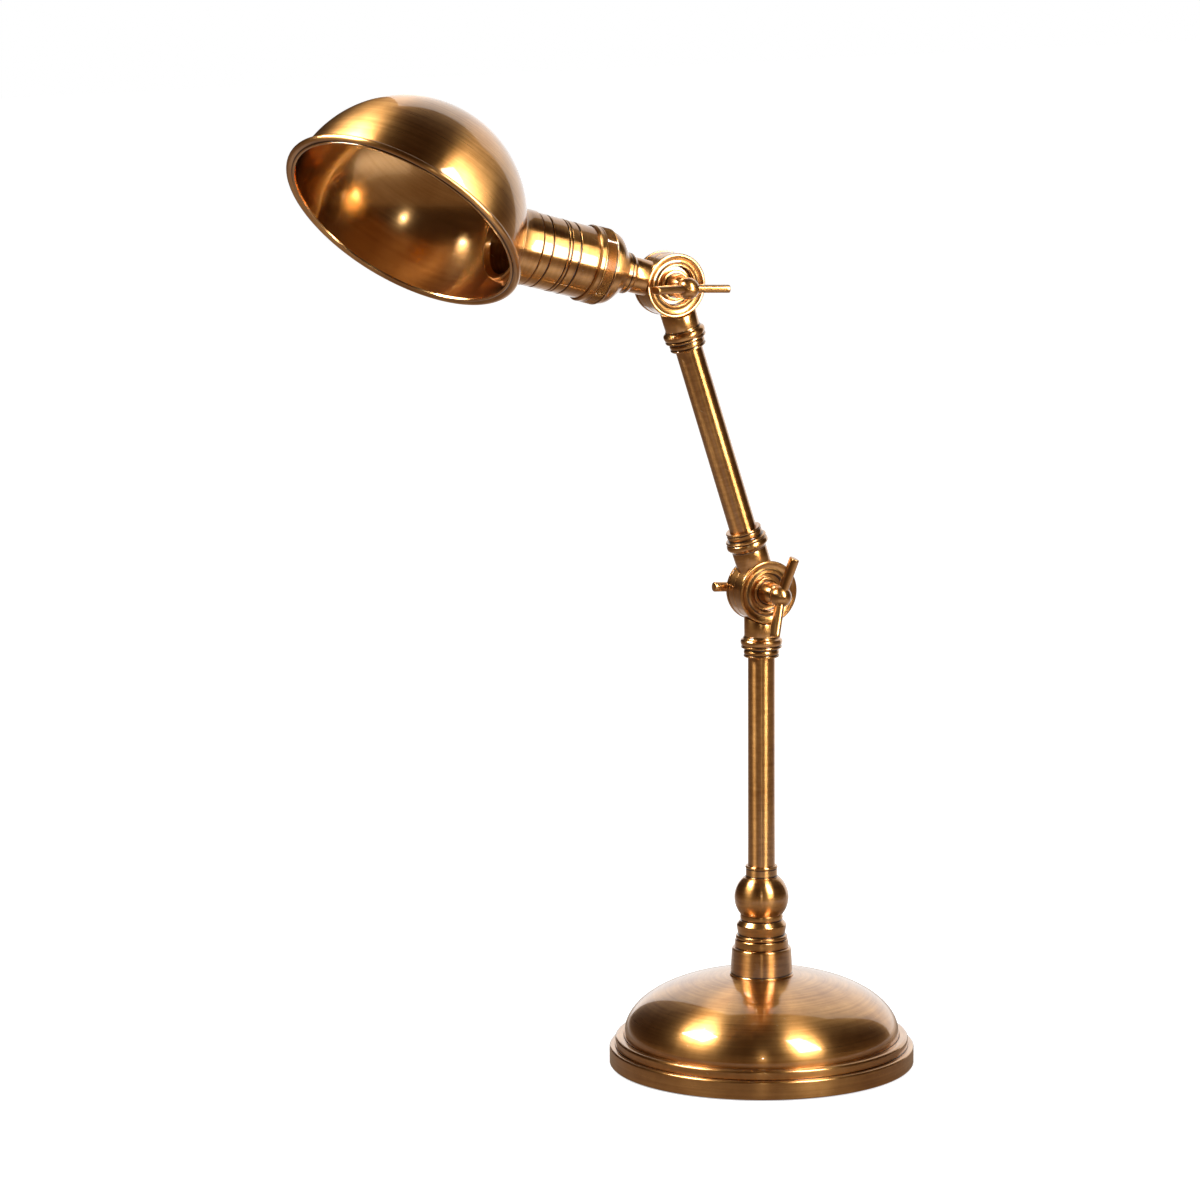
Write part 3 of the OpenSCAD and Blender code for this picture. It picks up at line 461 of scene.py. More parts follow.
def turned(bm, profile, place, segments=128, radius=EDGE):
    """Turn a closed profile about the Z axis of a frame. U goes round, and V is millimetres."""
    uv = bm.loops.layers.uv["turning"]
    patina_and_shade = bm.verts.layers.float["patina_and_shade"]
    line = soften(profile, radius) if radius else [(*p, 0.0) for p in profile]
    count = len(line)
    along = [0.0]
    for here, there in zip(line, line[1:] + line[:1]):
        along.append(along[-1] + math.dist(here[:2], there[:2]))
    rings = []
    for r, z, hollow in line:
        angles = [2*math.pi*k/segments for k in range(segments if r > 1e-6 else 1)]
        rings.append([bm.verts.new(place @ Vector((r*math.cos(a), r*math.sin(a), z))) for a in angles])
        # the hollow mark drives the brass's patina and its painted shade
        for vert in rings[-1]:
            vert[patina_and_shade] = hollow
    for i in range(count):
        here, there = rings[i], rings[(i + 1) % count]
        if len(here) == 1 and len(there) == 1:
            continue
        for k in range(segments):
            corners = []
            for ring, v, order in ((here, along[i], (k, k + 1)), (there, along[i + 1], (k + 1, k))):
                steps = order if len(ring) > 1 else order[:1]
                for step in steps:
                    corners.append((ring[step % len(ring)], step/segments, v))
            face = bm.faces.new([c[0] for c in corners])
            for loop, corner in zip(face.loops, corners):
                loop[uv].uv = corner[1:]


def make(name, bm, material, body, *nodes, slot="aged_brass"):
    """Turn a bmesh into a finished piece on a body, in place of CAD nodes."""
    bmesh.ops.recalc_face_normals(bm, faces=bm.faces)
    mesh = bpy.data.meshes.new(name)
    bm.to_mesh(mesh)
    bm.free()
    mesh.shade_smooth()
    return place_mesh(name, mesh, material, body, nodes)


def place_mesh(name, mesh, material, body, nodes):
    """Give a mesh its finish, and let it ride on a body in place of CAD nodes."""
    mesh.materials.clear()
    mesh.materials.append(material)
    piece = bpy.data.objects.new(name, mesh)
    scene.collection.objects.link(piece)
    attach(piece, body)
    if nodes:
        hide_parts(*nodes)
    print(f"{name}: {len(mesh.polygons)} faces on {body}")
    return piece


def turned_piece(name, profile, place, body, *nodes, material=None, slot="aged_brass", segments=128,
                 radius=EDGE):
    """Turn a profile into a finished piece."""
    bm = new_bmesh()
    turned(bm, profile, place, segments, radius)
    return make(name, bm, material or brass, body, *nodes, slot=slot)


# %% [markdown]
# ## The base
#
# A sheet of brass spun over a former: a plain band, a smaller band that overhangs a crease,
# and a dome that starts steep and ends flat under the stem. The dome's line is a
# superellipse, a little squarer than an ellipse. The underside is a cast weight and felt.

# %% Spin the base
BASE_R = 90.0
BAND_H = 10.2
BEAD_R = 86.6
BEAD_H = 17.2
DOME_R = 81.3
DOME_H = 54.6
DOME_POWER = 2.12
SHELL = 1.5
CUP_R = 18.3
CROWN_R = CUP_R + 1.0
PIPE_HOLE = 5.05
crown_turn = math.acos((CROWN_R/DOME_R)**(DOME_POWER/2))


def dome(radius, height, steps, last=crown_turn):
    """The dome's line, from its foot up to the crown."""
    line = []
    for i in range(steps + 1):
        a = last*i/steps
        line.append((radius*math.cos(a)**(2/DOME_POWER), BEAD_H + height*math.sin(a)**(2/DOME_POWER)))
    return line


crown = dome(DOME_R, DOME_H - BEAD_H, 1)[-1][1]
outside = ([(BASE_R - 0.6, 0.6), (BASE_R, 1.2)] + arc(BASE_R - 1.4, BAND_H, 1.4, 0, 90, 6)
           + [(BEAD_R + 0.5, BAND_H + 1.4), (BEAD_R - 0.5, BAND_H + 1.1), (BEAD_R, BAND_H + 2.0)]
           + arc(BEAD_R - 1.8, BEAD_H - 1.8, 1.8, 0, 90, 6)
           + [(DOME_R + 0.7, BEAD_H), (DOME_R - 0.2, BEAD_H - 0.6)] + dome(DOME_R, DOME_H - BEAD_H, 60)
           + [(PIPE_HOLE, crown)])
# the lining leaves out the crown's own point, so its flat top runs on into the dome
lining = ([(PIPE_HOLE, crown - SHELL)] + dome(DOME_R - SHELL, DOME_H - BEAD_H - SHELL, 40)[::-1][1:]
          + [(DOME_R - SHELL, BEAD_H - SHELL), (BEAD_R - SHELL, BEAD_H - SHELL),
             (BEAD_R - SHELL, BAND_H - 0.1), (BASE_R - SHELL, BAND_H - 0.1), (BASE_R - SHELL, 0.6)])
turned_piece("base_dome", outside + lining, ROW, "base", "base_shell", material=spun_brass, segments=256)
print("crown of the dome at", round(crown, 2), "mm")

# %% [markdown]
# ## The stem
#
# Turned bar, stacked on a threaded pipe: a tapered cup with a foot ring, a ring and a bead, a
# cone ring with a sharp edge, a lip, and a ball. The dark lines between them are real gaps
# and grooves, so they are drawn and not painted.

# %% Turn the stem
CUP_H = 16.8
CUP_TOP_R = 17.5
RINGS_H = 20.2
BALL_R = 16.0
LIP_R = 12.6
COLLAR_R = 9.3
TUBE_R = 8.0
TUBE_BORE = 6.5
TUBE_HOLE = 8.05
TUBE_SEAT = 4
cup_top = crown + CUP_H
rings_top = cup_top + RINGS_H
ball_z = rings_top + math.sqrt(BALL_R**2 - LIP_R**2)
collar_z = ball_z + math.sqrt(BALL_R**2 - (COLLAR_R + 1.2)**2)

cup = [(PIPE_HOLE, 0), (CUP_R + 0.6, 0), (CUP_R + 0.6, 0.7), (CUP_R + 0.2, 1.1), (CUP_R, 1.3)]
cup += arc(CUP_TOP_R - 1.2, CUP_H - 1.2, 1.2, 0, 90, 6) + [(15.2, CUP_H - 0.1), (PIPE_HOLE, CUP_H)]
turned_piece("stem_cup_turned", [(r, z + crown) for r, z in cup], ROW, "base", "stem_cup", segments=160)

rings = [(PIPE_HOLE, 0.02), (15, 0.02), (15, 0.5), (15.9, 0.5), (16.0, 0.8), (15.6, 4.5), (15.3, 4.9),
         (14.5, 4.9), (14.4, 5.3), (14.9, 5.35), (15.25, 5.8), (15.3, 6.4), (15.1, 7.1), (14.6, 7.5),
         (13.9, 7.6), (13.8, 8.3), (14.0, 8.6), (14.75, 13.5), (14.6, 13.9), (12.8, 16.2),
         (12.0, 16.4), (12.0, 16.9), (12.4, 17.1), (12.6, 17.7), (12.5, 19.3), (12.3, 20.2),
         (PIPE_HOLE, 20.2)]
turned_piece("stem_ring_stack", [(r, z + cup_top) for r, z in rings], ROW, "base", "stem_rings",
             material=fine_brass, segments=160)

low_turn = math.degrees(math.asin((rings_top - ball_z)/BALL_R))
high_turn = math.degrees(math.asin((collar_z - ball_z)/BALL_R))
ball = [(PIPE_HOLE, rings_top)] + arc(0, ball_z, BALL_R, low_turn, high_turn, 48)
ball += [(TUBE_HOLE, collar_z), (TUBE_HOLE, ball_z + TUBE_SEAT)]
turned_piece("stem_ball_turned", ball, ROW, "base", "stem_ball", material=spun_brass, segments=160)

collar = [(TUBE_HOLE, 0), (9.7, 0), (9.7, 0.5), (9.3, 0.8), (9.2, 5.4), (9.5, 5.8), (9.6, 6.4), (9.3, 7.0),
          (8.7, 7.2), (TUBE_HOLE, 7.0)]
turned_piece("tube_collar_turned", [(r, z + collar_z) for r, z in collar], ROW, "base", "tube_collar")

# %% [markdown]
# ## The tubes and their ferrules
#
# Drawn tube 16 mm across, with a ferrule at each end next to a joint: a bead with a small
# lip, then an end ring. The three ferrules are alike, so one profile makes them all.

# %% Draw the tubes and turn the ferrules
TUBE_STOP = 20.0
NECK_END = 26.5


def tube(low, high):
    """The section of a drawn tube."""
    return [(TUBE_R, low), (TUBE_R, high), (TUBE_BORE, high), (TUBE_BORE, low)]


post = tube(ball_z + TUBE_SEAT, lower.z - TUBE_STOP)
turned_piece("post_tube_drawn", post, ROW, "base", "post_tube", segments=96)
turned_piece("arm_tube_drawn", tube(TUBE_STOP, arm_length - TUBE_STOP), UP_ARM, "arm", "arm_tube",
             segments=96)

ferrule = [(TUBE_HOLE, 0.02), (10.4, 0.02), (10.45, 0.7), (10.9, 1.5), (11.9, 2.3), (12.35, 3.0), (12.4, 3.8),
           (12.3, 4.6), (12.0, 5.4), (11.5, 5.9), (11.6, 6.15), (12.0, 6.35), (12.1, 6.8), (12.0, 7.2),
           (11.4, 7.5), (10.0, 7.7), (9.9, 8.3), (10.2, 8.8), (10.5, 9.6), (10.45, 10.6), (10.1, 11.2),
           (10.2, 11.5), (10.55, 11.8), (10.6, 12.2), (10.3, 12.7), (9.0, 12.8), (TUBE_HOLE, 12.6)]
ferrule = [(r, z + NECK_END) for r, z in ferrule]
for node, place, body in (("post_ferrule", DOWN_POST, "base"), ("arm_lower_ferrule", UP_ARM, "arm"),
                          ("arm_upper_ferrule", DOWN_ARM, "arm")):
    turned_piece(f"{node}_turned", ferrule, place, body, node, material=fine_brass, radius=0.12)

# %% [markdown]
# ## The joints
#
# Each joint is two half drums, face to face on a thin fibre disc, with a neck each. A neck is
# round bar, cut to a saddle that clears the other half. A Boolean cuts it, as a mill would,
# and a Bevel modifier breaks its edges. The drum's face has a raised rim, a dished ring, and
# a deep bowl with a thick washer in it.

# %% Turn the drums and cut the necks
DRUM_R = 18.6
HALF_T = 9.5
SPLIT = 0.25
NECK_R = 10.3
BOWL_R = 11.2
BOWL_Y = 5.5
FLANGE_Y = 7.5
SCREW_HOLE = 3.05
NECK_BREAK = 0.22

drum = ([(SCREW_HOLE, SPLIT), (DRUM_R - 0.6, SPLIT), (DRUM_R - 0.4, SPLIT + 0.2),
         (DRUM_R - 0.4, FLANGE_Y - 0.6), (DRUM_R - 1.1, FLANGE_Y - 0.5), (DRUM_R - 1.1, FLANGE_Y),
         (DRUM_R - 0.1, FLANGE_Y)]
        + arc(DRUM_R - 0.8, HALF_T - 0.8, 0.8, 0, 90, 5)
        + [(DRUM_R - 1.5, HALF_T - 0.05), (DRUM_R - 2.0, HALF_T - 0.45), (DRUM_R - 2.8, HALF_T - 0.85),
           (DRUM_R - 4.0, HALF_T - 1.15), (BOWL_R + 2.2, HALF_T - 1.0), (BOWL_R + 1.5, HALF_T - 0.45),
           (BOWL_R + 1.1, HALF_T - 0.05), (BOWL_R + 0.6, HALF_T), (BOWL_R + 0.2, HALF_T - 0.2),
           (BOWL_R, HALF_T - 0.7), (BOWL_R, BOWL_Y), (SCREW_HOLE, BOWL_Y)])
# what the mill takes out of a neck: all that lies past the joint's middle plane, where the
# other half turns, and less of it beside its own drum
saddle = [(0, -12), (DRUM_R + 0.4, -12), (DRUM_R + 0.4, 0), (DRUM_R - 1.4, 0),
          (DRUM_R - 1.4, FLANGE_Y - 0.6), (DRUM_R + 0.4, FLANGE_Y - 0.6), (DRUM_R + 0.4, 12), (0, 12)]


def plain_mesh(bm):
    """Turn a bmesh into an object for a modifier to work on."""
    bmesh.ops.recalc_face_normals(bm, faces=bm.faces)
    mesh = bpy.data.meshes.new("blank")
    bm.to_mesh(mesh)
    bm.free()
    blank = bpy.data.objects.new("blank", mesh)
    scene.collection.objects.link(blank)
    return blank


def cut_away(blank, cutter, bevel=0.0):
    """Cut one solid out of another, break the edges, and return a plain mesh."""
    cut = blank.modifiers.new("cut", "BOOLEAN")
    cut.operation = "DIFFERENCE"
    cut.solver = "EXACT"
    cut.object = cutter
    if bevel:
        edges = blank.modifiers.new("edges", "BEVEL")
        edges.width = bevel*MM
        edges.segments = 2
        edges.limit_method = "ANGLE"
        edges.angle_limit = math.radians(35)
    graph = bpy.context.evaluated_depsgraph_get()
    result = bpy.data.meshes.new_from_object(blank.evaluated_get(graph))
    for old in (blank, cutter):
        bpy.data.objects.remove(old)
    return result


def knuckle(name, place, bore, body, node):
    """One half of a joint: a neck with its saddle, and the drum on it."""
    neck = new_bmesh()
    blank = [(0, 10), (NECK_R, 10), (NECK_R, NECK_END), (bore, NECK_END), (bore, TUBE_STOP), (0, TUBE_STOP)]
    turned(neck, blank, place, segments=160, radius=0)
    cutter = new_bmesh()
    turned(cutter, saddle, place @ TO_FRONT, segments=160, radius=0)
    cut = cut_away(plain_mesh(neck), plain_mesh(cutter), NECK_BREAK)
    bm = new_bmesh()
    bm.from_mesh(cut)
    bpy.data.meshes.remove(cut)
    turned(bm, drum, place @ TO_FRONT, segments=160, radius=0.15)
    piece = make(name, bm, fine_brass, body, node)
    piece.data.set_sharp_from_angle(angle=math.radians(40))
    return piece


knuckle("post_drum_half", DOWN_POST, TUBE_HOLE, "base", "post_knuckle")
knuckle("arm_lower_drum_half", UP_ARM, TUBE_HOLE, "arm", "arm_lower_knuckle")
knuckle("arm_upper_drum_half", DOWN_ARM, TUBE_HOLE, "arm", "arm_upper_knuckle")
knuckle("head_drum_half", HEAD, PIPE_HOLE, "head", "head_knuckle")

washer = ([(SCREW_HOLE, BOWL_Y + 0.02), (9.0, BOWL_Y + 0.02)] + arc(8.4, BOWL_Y + 2.6, 0.6, 0, 90, 4)
          + [(7.5, BOWL_Y + 3.2), (7.1, BOWL_Y + 2.9), (SCREW_HOLE, BOWL_Y + 2.9)])
for node, place, body in (("lower_front_washer", LOWER @ TO_FRONT, "arm"),
                          ("lower_rear_washer", LOWER @ TO_BACK, "base"),
                          ("upper_front_washer", UPPER @ TO_FRONT, "head"),
                          ("upper_rear_washer", UPPER @ TO_BACK, "arm")):
    turned_piece(f"{node}_turned", washer, place, body, node, material=fine_brass, radius=0.12)

# %% [markdown]
# ## The clamp levers
#
# A lever nut in front: a bell-shaped hub, a thin ring and a ball, with two flat-sided arms
# that lean forward like a wing nut's. Behind is a smaller ball with a round bar through it,
# on the screw that clamps the joint. The arms are brushed lengthwise, so their U runs along.

# %% Make the levers
HUB_FOOT = 8.45
KNOB_Y = 24.1
KNOB_R = 6.4
LEVER_REACH = 24.2
LEVER_SWEEP = 12
REAR_KNOB_Y = 14.1
REAR_KNOB_R = 5.2
REAR_BAR_R = 2.9
END_ROUND = 0.6
END_HOLD = 2
LEVER_THICK = 4.7
LEVER_DEEP = 7.4
LEVER_START = 2.0
HUB_R = 6.7
HUB_TAPER = 1.6
SCREW_R = 3
SCREW_REACH = 16.5


def bar(bm, place, thick, deep, low, high):
    """A bar with flat sides and round edges, along Z, with rounded ends."""
    uv = bm.loops.layers.uv["turning"]
    half_flat = (deep - thick)/2
    section = arc(0, half_flat, thick/2, 0, 180, 12) + arc(0, -half_flat, thick/2, 180, 360, 12)
    # how far each row of an end stands out, and how far it is drawn in
    end = [(END_ROUND*math.sin(math.radians(a)), END_ROUND - END_ROUND*math.cos(math.radians(a)))
           for a in (0, 30, 60, 90)]
    heights = [(low + END_ROUND - out, inset) for out, inset in reversed(end)]
    heights += [(low + END_HOLD, 0), (high - END_HOLD, 0)]
    heights += [(high - END_ROUND + out, inset) for out, inset in end]
    rings = []
    for z, inset in heights:
        shrink = 1 - inset/(thick/2)
        ring = []
        for x, y in section:
            side = math.copysign(half_flat, y)
            ring.append(bm.verts.new(place @ Vector((x*shrink, (y - side)*shrink + side, z))))
        rings.append(ring)
    size = len(section)
    for i in range(len(rings) - 1):
        for k in range(size):
            n = (k + 1) % size
            face = bm.faces.new((rings[i][k], rings[i][n], rings[i + 1][n], rings[i + 1][k]))
            spots = ((i, k), (i, k + 1), (i + 1, k + 1), (i + 1, k))
            for loop, (row, step) in zip(face.loops, spots):
                loop[uv].uv = (heights[row][0]/60, step*0.5)
    for ring in (rings[0], rings[-1]):
        face = bm.faces.new(ring)
        for loop in face.loops:
            loop[uv].uv = (0, 0)


RING_Y = KNOB_Y - 0.85*KNOB_R
hub = ([(0, HUB_FOOT), (HUB_R, HUB_FOOT)]
       + [(HUB_R - HUB_TAPER*(1 - math.cos(math.radians(15*i))),
           HUB_FOOT + 1.8 + (RING_Y - HUB_FOOT - 2.4)*math.sin(math.radians(15*i))) for i in range(7)]
       + [(5.5, RING_Y - 0.4), (5.7, RING_Y), (5.5, RING_Y + 0.5)])
start = math.degrees(math.asin((RING_Y + 1.0 - KNOB_Y)/KNOB_R))
hub += arc(0, KNOB_Y, KNOB_R, start, 90, 24)
hub[-1] = (0, KNOB_Y + KNOB_R)


def lever_nut(name, place, turned_by, body, node):
    """A clamp nut in front of a joint: the hub, and two swept arms."""
    bm = new_bmesh()
    turned(bm, hub, place @ TO_FRONT, segments=96, radius=0.15)
    ball_centre = place @ Matrix.Translation((0, -KNOB_Y, 0)) @ rot(turned_by, "Y")
    for swept in (LEVER_SWEEP, 180 - LEVER_SWEEP):
        bar(bm, ball_centre @ rot(swept, "X"), LEVER_THICK, LEVER_DEEP, LEVER_START, LEVER_REACH)
    piece = make(name, bm, fine_brass, body, node)
    piece.data.set_sharp_from_angle(angle=math.radians(50))
    return piece


def lever_screw(name, place, turned_by, body, node):
    """The clamp screw of a joint: its knob behind, a bar through that, and the shank."""
    bm = new_bmesh()
    stub = [(0, HUB_FOOT - 10), (SCREW_R, HUB_FOOT - 10), (SCREW_R, HUB_FOOT), (HUB_R, HUB_FOOT),
            (HUB_R, HUB_FOOT + 1.0), (5.4, 11.8)]
    stub += arc(0, REAR_KNOB_Y, REAR_KNOB_R, -20, 90, 20)
    stub[-1] = (0, REAR_KNOB_Y + REAR_KNOB_R)
    turned(bm, stub, place @ TO_BACK, segments=96, radius=0.2)
    shank = [(0, 0), (SCREW_R, 0), (SCREW_R, SCREW_REACH), (0, SCREW_REACH)]
    turned(bm, shank, place @ TO_FRONT, segments=48, radius=0.2)
    ball_centre = place @ Matrix.Translation((0, REAR_KNOB_Y, 0)) @ rot(-turned_by, "Y")
    bar(bm, ball_centre, 2*REAR_BAR_R, 2*REAR_BAR_R + 0.01, -LEVER_REACH, LEVER_REACH)
    piece = make(name, bm, fine_brass, body, node)
    piece.data.set_sharp_from_angle(angle=math.radians(50))
    return piece


lever_nut("lower_front_lever", LOWER, 16, "lower_front_nut", "lower_lever_nut")
lever_nut("upper_front_lever", UPPER, 92, "upper_front_nut", "upper_lever_nut")
lever_screw("lower_rear_lever", LOWER, 86, "lower_rear_screw", "lower_clamp_bolt")
lever_screw("upper_rear_lever", UPPER, 86, "upper_rear_screw", "upper_clamp_bolt")

# %% [markdown]
# ## The cap and its knurled ring
#
# The lampholder's cap is bell-shaped, with a flared collar behind it. Round its widest part
# runs a band of diamond knurling, which a knurling tool rolls into the metal. More than a
# thousand equal points on a cylinder are work for Geometry Nodes: the tree numbers the
# points, counts them round and up, stands a small pyramid on each, and makes them real.

# %% Turn the collar and the cap
CAP_START = 33.3
CAP_LEN = 24.2
CAP_EDGE = CAP_START + CAP_LEN
SKIRT_R = 21.3
KNURL_START = CAP_START + 12.3
KNURL_LEN = 8.6

collar = [(PIPE_HOLE, 0.02), (10.5, 0.02), (10.9, 0.5), (11.7, 1.8), (12.0, 2.3), (12.0, 3.3), (11.75, 3.6),
          (11.75, 3.9), (12.0, 4.2), (12.0, 6.2), (11.6, 6.78), (PIPE_HOLE, 6.78)]
turned_piece("head_collar", [(r, z + NECK_END) for r, z in collar], HEAD, "head", "cap_collar", radius=0.15)

ROUND = 8.0
round_x = SKIRT_R - ROUND
cone_end = round_x + ROUND*math.cos(math.radians(45)) - 13.2
bell = ([(PIPE_HOLE, 0), (12.9, 0), (13.2, 0.3)]
        + arc(round_x, cone_end + ROUND*math.sin(math.radians(45)), ROUND, -45, 0, 14)
        + [(SKIRT_R, 20.9), (SKIRT_R + 0.8, 20.92), (SKIRT_R + 1.0, 21.2), (SKIRT_R + 1.0, 23.3),
           (SKIRT_R + 0.3, CAP_LEN), (17.05, CAP_LEN), (17.05, 19.2), (18.8, 19.2), (18.8, 11.2),
           (12, 4.4), (PIPE_HOLE, 4.4)])
turned_piece("socket_bell", [(r, z + CAP_START) for r, z in bell], HEAD, "head", "socket_cap", segments=192,
             radius=0.2)

# %% Knurl the ring with Geometry Nodes
KNURL_AROUND = 150
KNURL_ROWS = 9
TOOTH = 0.45
TOOTH_R = 21.88
# each sum has a name, a kind and what goes in: an input, an earlier sum or a number
SUMS = (("total", "MULTIPLY", "Around", "Rows"),
        ("column", "MODULO", "number", "Around"),
        ("nudged", "ADD", "number", 0.01),
        ("rounds", "DIVIDE", "nudged", "Around"),
        ("row", "FLOOR", "rounds", 0.0),
        ("odd", "MODULO", "row", 2.0),
        ("stagger", "MULTIPLY", "odd", 0.5),
        ("shifted", "ADD", "column", "stagger"),
        ("turn", "DIVIDE", "shifted", "Around"),
        ("angle", "MULTIPLY", "turn", 2*math.pi),
        ("span", "SUBTRACT", "High", "Low"),
        ("gaps", "ADD", "Rows", 1.0),
        ("rise", "DIVIDE", "span", "gaps"),
        ("storey", "ADD", "row", 1.0),
        ("climb", "MULTIPLY", "storey", "rise"),
        ("height", "ADD", "Low", "climb"),
        ("cosine", "COSINE", "angle", 0.0),
        ("sine", "SINE", "angle", 0.0),
        ("east", "MULTIPLY", "Radius", "cosine"),
        ("north", "MULTIPLY", "Radius", "sine"),
        ("half round", "MULTIPLY", "Radius", math.pi),
        ("width", "DIVIDE", "half round", "Around"))


def knurl_tree(material):
    """Stand small pyramids in staggered rows on a cylinder, on top of the ring that comes in."""
    tree = bpy.data.node_groups.new("knurling", "GeometryNodeTree")
    sockets = tree.interface
    sockets.new_socket("Ring", in_out="INPUT", socket_type="NodeSocketGeometry")
    for label in ("Radius", "Low", "High", "Tooth"):
        sockets.new_socket(label, in_out="INPUT", socket_type="NodeSocketFloat")
    for label in ("Around", "Rows"):
        sockets.new_socket(label, in_out="INPUT", socket_type="NodeSocketInt")
    sockets.new_socket("Knurled ring", in_out="OUTPUT", socket_type="NodeSocketGeometry")
    size = add(tree, "NodeGroupInput").outputs
    value = {label: size[label] for label in ("Radius", "Low", "High", "Around", "Rows")}
    value["number"] = add(tree, "GeometryNodeInputIndex").outputs[0]
    for label, operation, a, b in SUMS:
        node = add(tree, "ShaderNodeMath", {"operation": operation}, i0=value.get(a, a), i1=value.get(b, b))
        value[label] = node.outputs[0]
    points = add(tree, "GeometryNodePoints", Count=value["total"])
    spot = add(tree, "ShaderNodeCombineXYZ", X=value["east"], Y=value["north"], Z=value["height"])
    placed = add(tree, "GeometryNodeSetPosition", Geometry=points.outputs[0], Position=spot.outputs[0])
    tooth = add(tree, "GeometryNodeMeshCone", {"fill_type": "NONE"}, Vertices=4, Side_Segments=1,
                Radius_Top=0.0, Radius_Bottom=1.0, Depth=1.0)
    facing = add(tree, "ShaderNodeCombineXYZ", X=0.0, Y=math.pi/2, Z=value["angle"])
    scale = add(tree, "ShaderNodeCombineXYZ", X=value["rise"], Y=value["width"], Z=size["Tooth"])
    teeth = add(tree, "GeometryNodeInstanceOnPoints", Points=placed.outputs[0], Instance=tooth.outputs[0],
                Rotation=facing.outputs[0], Scale=scale.outputs[0])
    joined = add(tree, "GeometryNodeJoinGeometry")
    tree.links.new(size["Ring"], joined.inputs[0])
    tree.links.new(teeth.outputs[0], joined.inputs[0])
    real = add(tree, "GeometryNodeRealizeInstances", Geometry=joined.outputs[0])
    dressed = add(tree, "GeometryNodeSetMaterial", Geometry=real.outputs[0], Material=material)
    output = add(tree, "NodeGroupOutput")
    tree.links.new(dressed.outputs[0], output.inputs[0])
    return tree


def run_tree(name, blank, tree, settings, place):
    """Run a node tree on an object by its sockets' identifiers, and return a plain mesh."""
    modifier = blank.modifiers.new(name, "NODES")
    modifier.node_group = tree
    for item in tree.interface.items_tree:
        if item.in_out == "INPUT" and item.name in settings:
            modifier[item.identifier] = settings[item.name]
    blank.update_tag()
    graph = bpy.context.evaluated_depsgraph_get()
    mesh = bpy.data.meshes.new_from_object(blank.evaluated_get(graph))
    bpy.data.objects.remove(blank)
    mesh.transform(place)
    return mesh


ring = new_bmesh()
low, high = KNURL_START, KNURL_START + KNURL_LEN
band = [(SKIRT_R + 0.02, low), (21.9, low), (22.3, low + 0.5), (22.3, low + 1.0), (21.9, low + 1.2),
        (21.9, high - 1.1), (22.3, high - 0.9), (22.3, high - 0.3), (22.0, high), (SKIRT_R + 0.02, high)]
turned(ring, band, Matrix.Identity(4), segments=KNURL_AROUND, radius=0.12)
knurled = run_tree("knurling", plain_mesh(ring), knurl_tree(knurl_brass),
                   {"Radius": TOOTH_R, "Low": low + 1.1, "High": high - 1.0, "Tooth": TOOTH,
                    "Around": KNURL_AROUND, "Rows": KNURL_ROWS}, HEAD)
knurled.set_sharp_from_angle(angle=math.radians(30))
place_mesh("knurled_band", knurled, knurl_brass, "head", ["knurled_ring"])

# %% [markdown]
# ## The sleeve, the fitter and the shade
#
# The sleeve holds the lampholder, and turns in the cap with the shade. Its ribs are left
# standing between narrow grooves. The shade is a spun hemisphere with a rolled rim. The
# fitter flares to meet it, and a ring inside clamps it from the other side.

# %% Turn the sleeve and the fitter
SLEEVE_BORE = 19.3
BAND_START = CAP_EDGE + 0.9
SLEEVE_END = BAND_START + 36.0
SHADE_R = 68.6
SHADE_IN = 67.7
LEDGE = CAP_EDGE + 4.5
GROOVE_R = 20.3
RIB_EDGE = 0.35

sleeve = [(14.4, CAP_EDGE - 8.4), (17.0, CAP_EDGE - 8.4), (17.0, CAP_EDGE + 0.1), (20.6, CAP_EDGE + 0.1),
          (20.6, BAND_START - 0.1)]
for first, last, radius in ((0, 11.2, 21.0), (12.0, 16.9, 21.0), (17.5, 18.9, 21.1), (19.5, 29.1, 21.1),
                            (29.9, 35.6, 21.2)):
    z0, z1 = BAND_START + first, BAND_START + last
    sleeve += [(GROOVE_R, z0), (radius - RIB_EDGE, z0), (radius, z0 + RIB_EDGE), (radius, z1 - RIB_EDGE),
               (radius - RIB_EDGE, z1), (GROOVE_R, z1)]
sleeve += [(GROOVE_R, SLEEVE_END), (SLEEVE_BORE, SLEEVE_END), (SLEEVE_BORE, LEDGE), (14.4, LEDGE)]
turned_piece("ribbed_sleeve", sleeve, HEAD, "shade_unit", "socket_sleeve", segments=192, radius=0.15)


def behind(sphere, radius):
    """How far along the head's axis the shade's sphere lies, at a radius about that axis."""
    return SHADE_REACH - math.sqrt(sphere**2 - radius**2)


FLARE_R = 25.6
FITTER_R = 21.8
FLARE_OUT = 3.8
FLARE_LEN = 8.3
FLARE_SEAT = 6.2
flare_end = behind(SHADE_R, FLARE_R) - 0.5
flare_start = flare_end - FLARE_LEN
fitter = ([(19.3, SLEEVE_END), (20.6, SLEEVE_END), (20.6, SLEEVE_END + 0.4), (21.5, SLEEVE_END + 0.4),
           (21.8, SLEEVE_END + 0.7)]
          + [(FITTER_R + FLARE_OUT*(1 - math.cos(math.radians(7.5*i))),
              flare_start + FLARE_LEN*math.sin(math.radians(7.5*i))) for i in range(13)]
          + [(FLARE_R - FLARE_SEAT*i/6, behind(SHADE_R + 0.07, FLARE_R - FLARE_SEAT*i/6)) for i in range(7)])
turned_piece("shade_fitter_turned", fitter, HEAD, "shade_unit", "shade_fitter", segments=192, radius=0.15)

# %% Spin the shade and cut its hole
RIM_DROP = 4.3
RIM_R = 73.7
RIM_ROUND = 1.8
HOLE_R = 19.45
DRILL = (60, 150)


